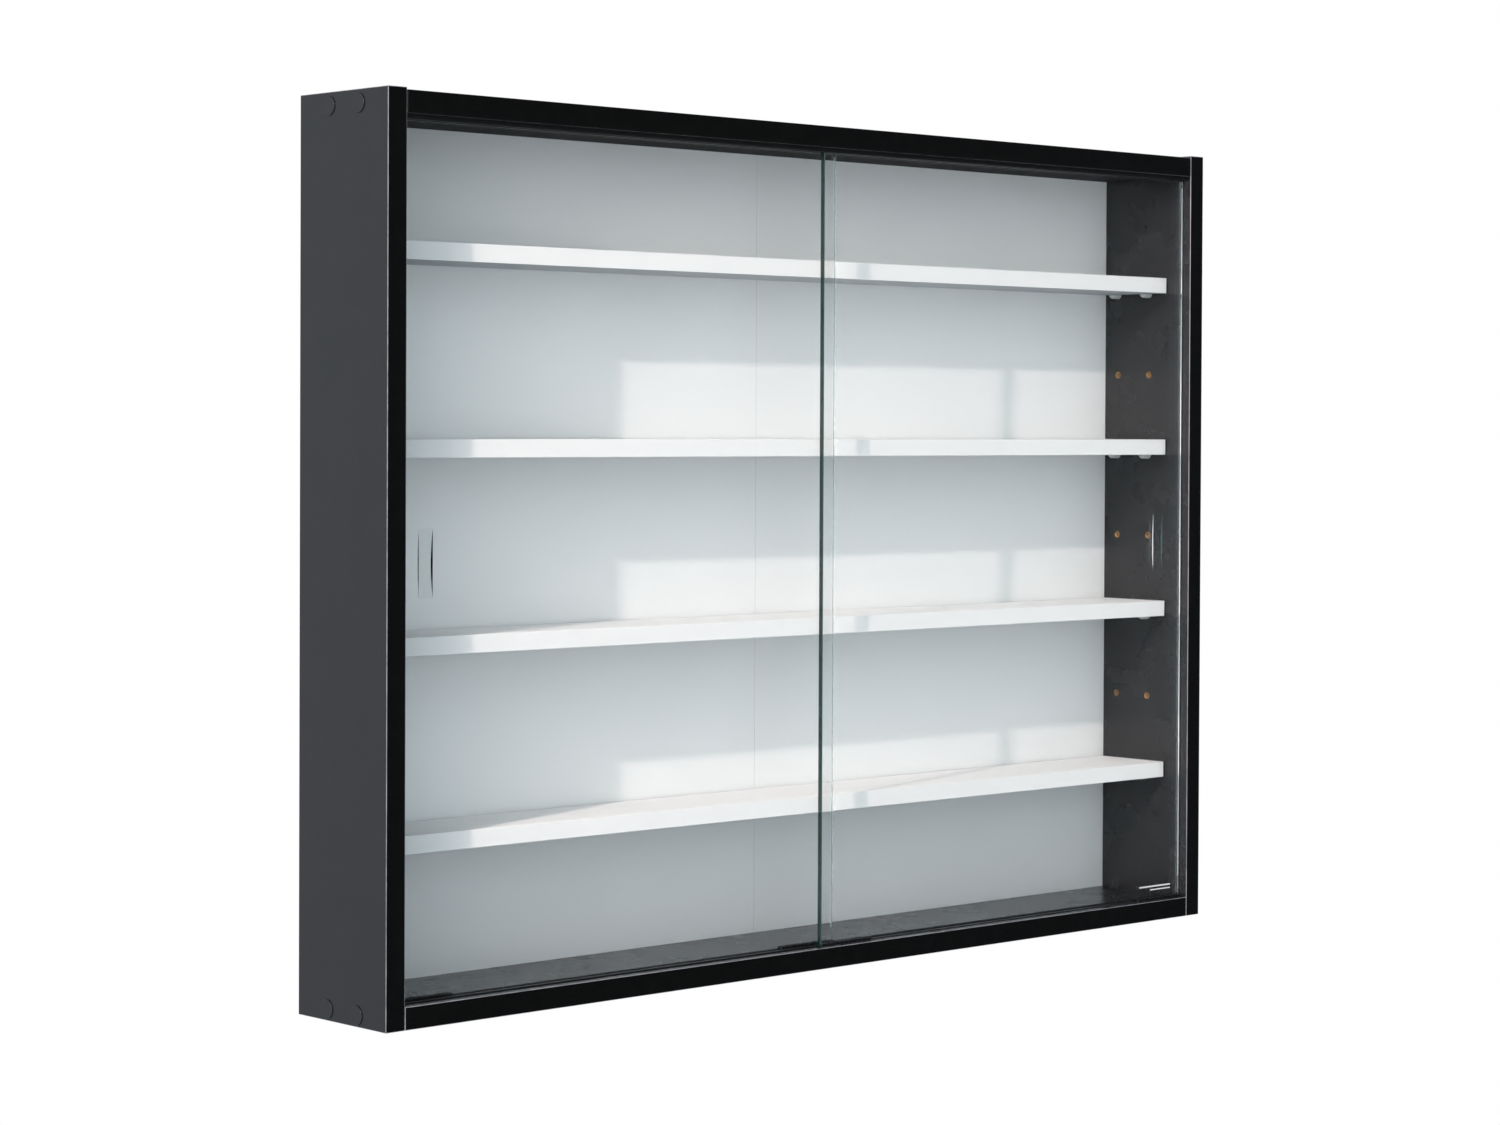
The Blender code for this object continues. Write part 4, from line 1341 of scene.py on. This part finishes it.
class SHOWCASE_OT_shelves(bpy.types.Operator):
    """Make the four shelves"""

    bl_idname = "showcase.shelves"
    bl_label = "Shelves"

    def execute(self, context):
        for number in SHELF_NUMBERS:
            make_shelf(number, context.scene.showcase_sizes)
        return {"FINISHED"}


class SHOWCASE_OT_supports(bpy.types.Operator):
    """Make the shelf supports"""

    bl_idname = "showcase.supports"
    bl_label = "Shelf Supports"

    def execute(self, context):
        for number in SHELF_NUMBERS:
            for end, side in ENDS:
                for where in DEPTHS:
                    make_support(number, end, side, where)
        return {"FINISHED"}


class SHOWCASE_OT_tracks(bpy.types.Operator):
    """Make the top and bottom door tracks"""

    bl_idname = "showcase.tracks"
    bl_label = "Door Tracks"

    def execute(self, context):
        for level in LEVELS:
            make_track(level, context.scene.showcase_sizes)
        return {"FINISHED"}


class SHOWCASE_OT_doors(bpy.types.Operator):
    """Make the glass doors with their gliders and the printed bars"""

    bl_idname = "showcase.doors"
    bl_label = "Glass Doors"

    def execute(self, context):
        sizes = context.scene.showcase_sizes
        for end, side in ENDS:
            make_door(end, side, sizes)
            for where in GLIDER_PLACES:
                make_glider(end, where, sizes)
        make_print()
        return {"FINISHED"}


class SHOWCASE_OT_fixings(bpy.types.Operator):
    """Make the screw caps and plate the connecting screws under them"""

    bl_idname = "showcase.fixings"
    bl_label = "Screws and Caps"

    def execute(self, context):
        for level in LEVELS:
            for end, side in ENDS:
                for where in DEPTHS:
                    make_cap(level, end, side, where)
                    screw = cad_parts[f"connecting_screw_{level}_{end}_{where}"]
                    for material_slot in screw.material_slots:
                        material_slot.material = finish(zinc_plated_steel)
        return {"FINISHED"}


class SHOWCASE_OT_hangers(bpy.types.Operator):
    """Make the keyhole hanger plates and their screws"""

    bl_idname = "showcase.hangers"
    bl_label = "Hanger Plates"

    def execute(self, context):
        for end, _ in ENDS:
            make_hanger_plate(end)
            for where in HANGER_SCREW_PLACES:
                make_hanger_screw(end, where)
        return {"FINISHED"}


class SHOWCASE_OT_stage(bpy.types.Operator):
    """Make the floor, the lights and the camera"""

    bl_idname = "showcase.stage"
    bl_label = "Stage"

    def execute(self, context):
        scene = context.scene
        lay_floor(scene)
        light_key(scene)
        surround(scene)
        place_camera(scene)
        scene.view_settings.view_transform = "Standard"
        return {"FINISHED"}


def lay_floor(scene):
    """A round pale floor well under the showcase, which hangs on a wall that isn't shown."""
    foot = CAD_BOX[0][2] - scene.showcase_sizes.floor_drop
    shape = bmesh.new()
    bmesh.ops.create_circle(
        shape, cap_ends=True, segments=96, radius=FLOOR_RADIUS,
        matrix=Matrix.Translation((0, 0, foot)))
    mesh = bpy.data.meshes.new("studio_floor")
    shape.to_mesh(mesh)
    shape.free()
    mesh.materials.append(finish(painted_floor))
    floor = bpy.data.objects.new("studio_floor", mesh)
    scene.collection.objects.link(floor)


def light_key(scene):
    """A small spotlight high at the left front, whose light doesn't weaken with distance."""
    key = bpy.data.lights.new("key", "SPOT")
    key.energy = 4.0 * math.pi * scene.showcase_light.key
    key.color = scene.showcase_light.key_colour
    key.shadow_soft_size = LAMP_RADIUS
    key.spot_size = math.radians(LAMP_CONE)
    key.spot_blend = 0.25
    key.use_nodes = True
    tree = key.node_tree
    tree.nodes.clear()
    falloff = add_node(tree, "ShaderNodeLightFalloff", {"Strength": 1.0})
    glow = add_node(tree, "ShaderNodeEmission", {"Strength": falloff.outputs["Constant"]})
    add_node(tree, "ShaderNodeOutputLight", {"Surface": glow.outputs[0]})
    lamp = bpy.data.objects.new("key", key)
    lamp.location = LAMP_PLACE
    aim = Vector(LAMP_AIM) - lamp.location
    lamp.rotation_euler = aim.to_track_quat("-Z", "Y").to_euler()
    scene.collection.objects.link(lamp)


def surround(scene):
    """Soft white surroundings, brightest in front and in a low band, that darken towards the right
    front. The camera sees an even white instead."""
    world = bpy.data.worlds.new("studio")
    world.use_nodes = True
    tree = world.node_tree
    tree.nodes.clear()
    direction = add_node(tree, "ShaderNodeTexCoord").outputs["Generated"]
    towards_dark = add_node(
        tree, "ShaderNodeVectorMath", {0: direction, 1: DARK_SIDE}, operation="DOT_PRODUCT")
    share = add_node(
        tree, "ShaderNodeMapRange",
        {"Value": towards_dark.outputs["Value"], "From Min": 0.66, "From Max": 0.92,
         "To Min": scene.showcase_light.fill, "To Max": 0.03})
    parts = add_node(tree, "ShaderNodeSeparateXYZ", {"Vector": direction})
    front = add_node(
        tree, "ShaderNodeMapRange",
        {"Value": parts.outputs["Y"], "From Min": -0.3, "From Max": 0.3, "To Min": 1.0,
         "To Max": 0.33})
    off_level = add_node(
        tree, "ShaderNodeMath", {0: parts.outputs["Z"], 1: BRIGHT_LEVEL}, operation="SUBTRACT")
    steepness = add_node(
        tree, "ShaderNodeMath", {0: off_level.outputs[0]}, operation="ABSOLUTE")
    above = add_node(
        tree, "ShaderNodeMapRange",
        {"Value": steepness.outputs[0], "From Min": 0.15, "From Max": 0.6, "To Min": 1.6,
         "To Max": 0.85})
    level = add_node(
        tree, "ShaderNodeMath", {0: front.outputs[0], 1: above.outputs[0]},
        operation="MULTIPLY")
    strength = add_node(
        tree, "ShaderNodeMath", {0: share.outputs[0], 1: level.outputs[0]},
        operation="MULTIPLY")
    soft = add_node(
        tree, "ShaderNodeBackground",
        {"Color": (*scene.showcase_light.fill_colour, 1.0), "Strength": strength.outputs[0]})
    white = add_node(
        tree, "ShaderNodeBackground", {"Color": (1.0, 1.0, 1.0, 1.0), "Strength": 1.0})
    path = add_node(tree, "ShaderNodeLightPath")
    mixed = add_node(
        tree, "ShaderNodeMixShader",
        {0: path.outputs["Is Camera Ray"], 1: soft.outputs[0], 2: white.outputs[0]})
    add_node(tree, "ShaderNodeOutputWorld", {"Surface": mixed.outputs[0]})
    scene.world = world


def place_camera(scene):
    """A long lens at the left front. Its small shift keeps the upright edges nearly parallel."""
    camera = bpy.data.cameras.new("camera")
    camera.lens = LENS
    camera.shift_y = LENS_SHIFT
    camera.sensor_width = 36.0
    camera.clip_end = 200.0
    stand = bpy.data.objects.new("camera", camera)
    stand.location = CAMERA_PLACE
    stand.rotation_euler = Euler([math.radians(turn) for turn in CAMERA_TURN])
    scene.collection.objects.link(stand)
    scene.camera = stand


class SHOWCASE_PT_panel(bpy.types.Panel):
    """Sizes, colours and the steps that make the showcase"""

    bl_idname = "SHOWCASE_PT_panel"
    bl_label = "Wall Mounted Showcase"
    bl_space_type = "VIEW_3D"
    bl_region_type = "UI"
    bl_category = "Showcase"

    def draw(self, context):
        layout = self.layout
        for group in (
                context.scene.showcase_sizes, context.scene.showcase_colours,
                context.scene.showcase_light):
            box = layout.box()
            for name in group.__annotations__:
                box.prop(group, name)
        for operator in OPERATORS:
            layout.operator(operator.bl_idname)


GROUPS = {
    "showcase_sizes": ShowcaseSizes,
    "showcase_colours": ShowcaseColours,
    "showcase_light": ShowcaseLight,
}
OPERATORS = (
    SHOWCASE_OT_boards, SHOWCASE_OT_back, SHOWCASE_OT_shelves, SHOWCASE_OT_supports,
    SHOWCASE_OT_tracks, SHOWCASE_OT_doors, SHOWCASE_OT_fixings, SHOWCASE_OT_hangers,
    SHOWCASE_OT_stage)


def register():
    for name, group in GROUPS.items():
        bpy.utils.register_class(group)
        setattr(bpy.types.Scene, name, PointerProperty(type=group))
    for item in (*OPERATORS, SHOWCASE_PT_panel):
        bpy.utils.register_class(item)


def unregister():
    for item in reversed((*OPERATORS, SHOWCASE_PT_panel)):
        bpy.utils.unregister_class(item)
    for name, group in GROUPS.items():
        delattr(bpy.types.Scene, name)
        bpy.utils.unregister_class(group)


def main():
    register()
    bpy.ops.showcase.boards()
    bpy.ops.showcase.back()
    bpy.ops.showcase.shelves()
    bpy.ops.showcase.supports()
    bpy.ops.showcase.tracks()
    bpy.ops.showcase.doors()
    bpy.ops.showcase.fixings()
    bpy.ops.showcase.hangers()
    bpy.ops.showcase.stage()


if __name__ == "__main__":
    main()
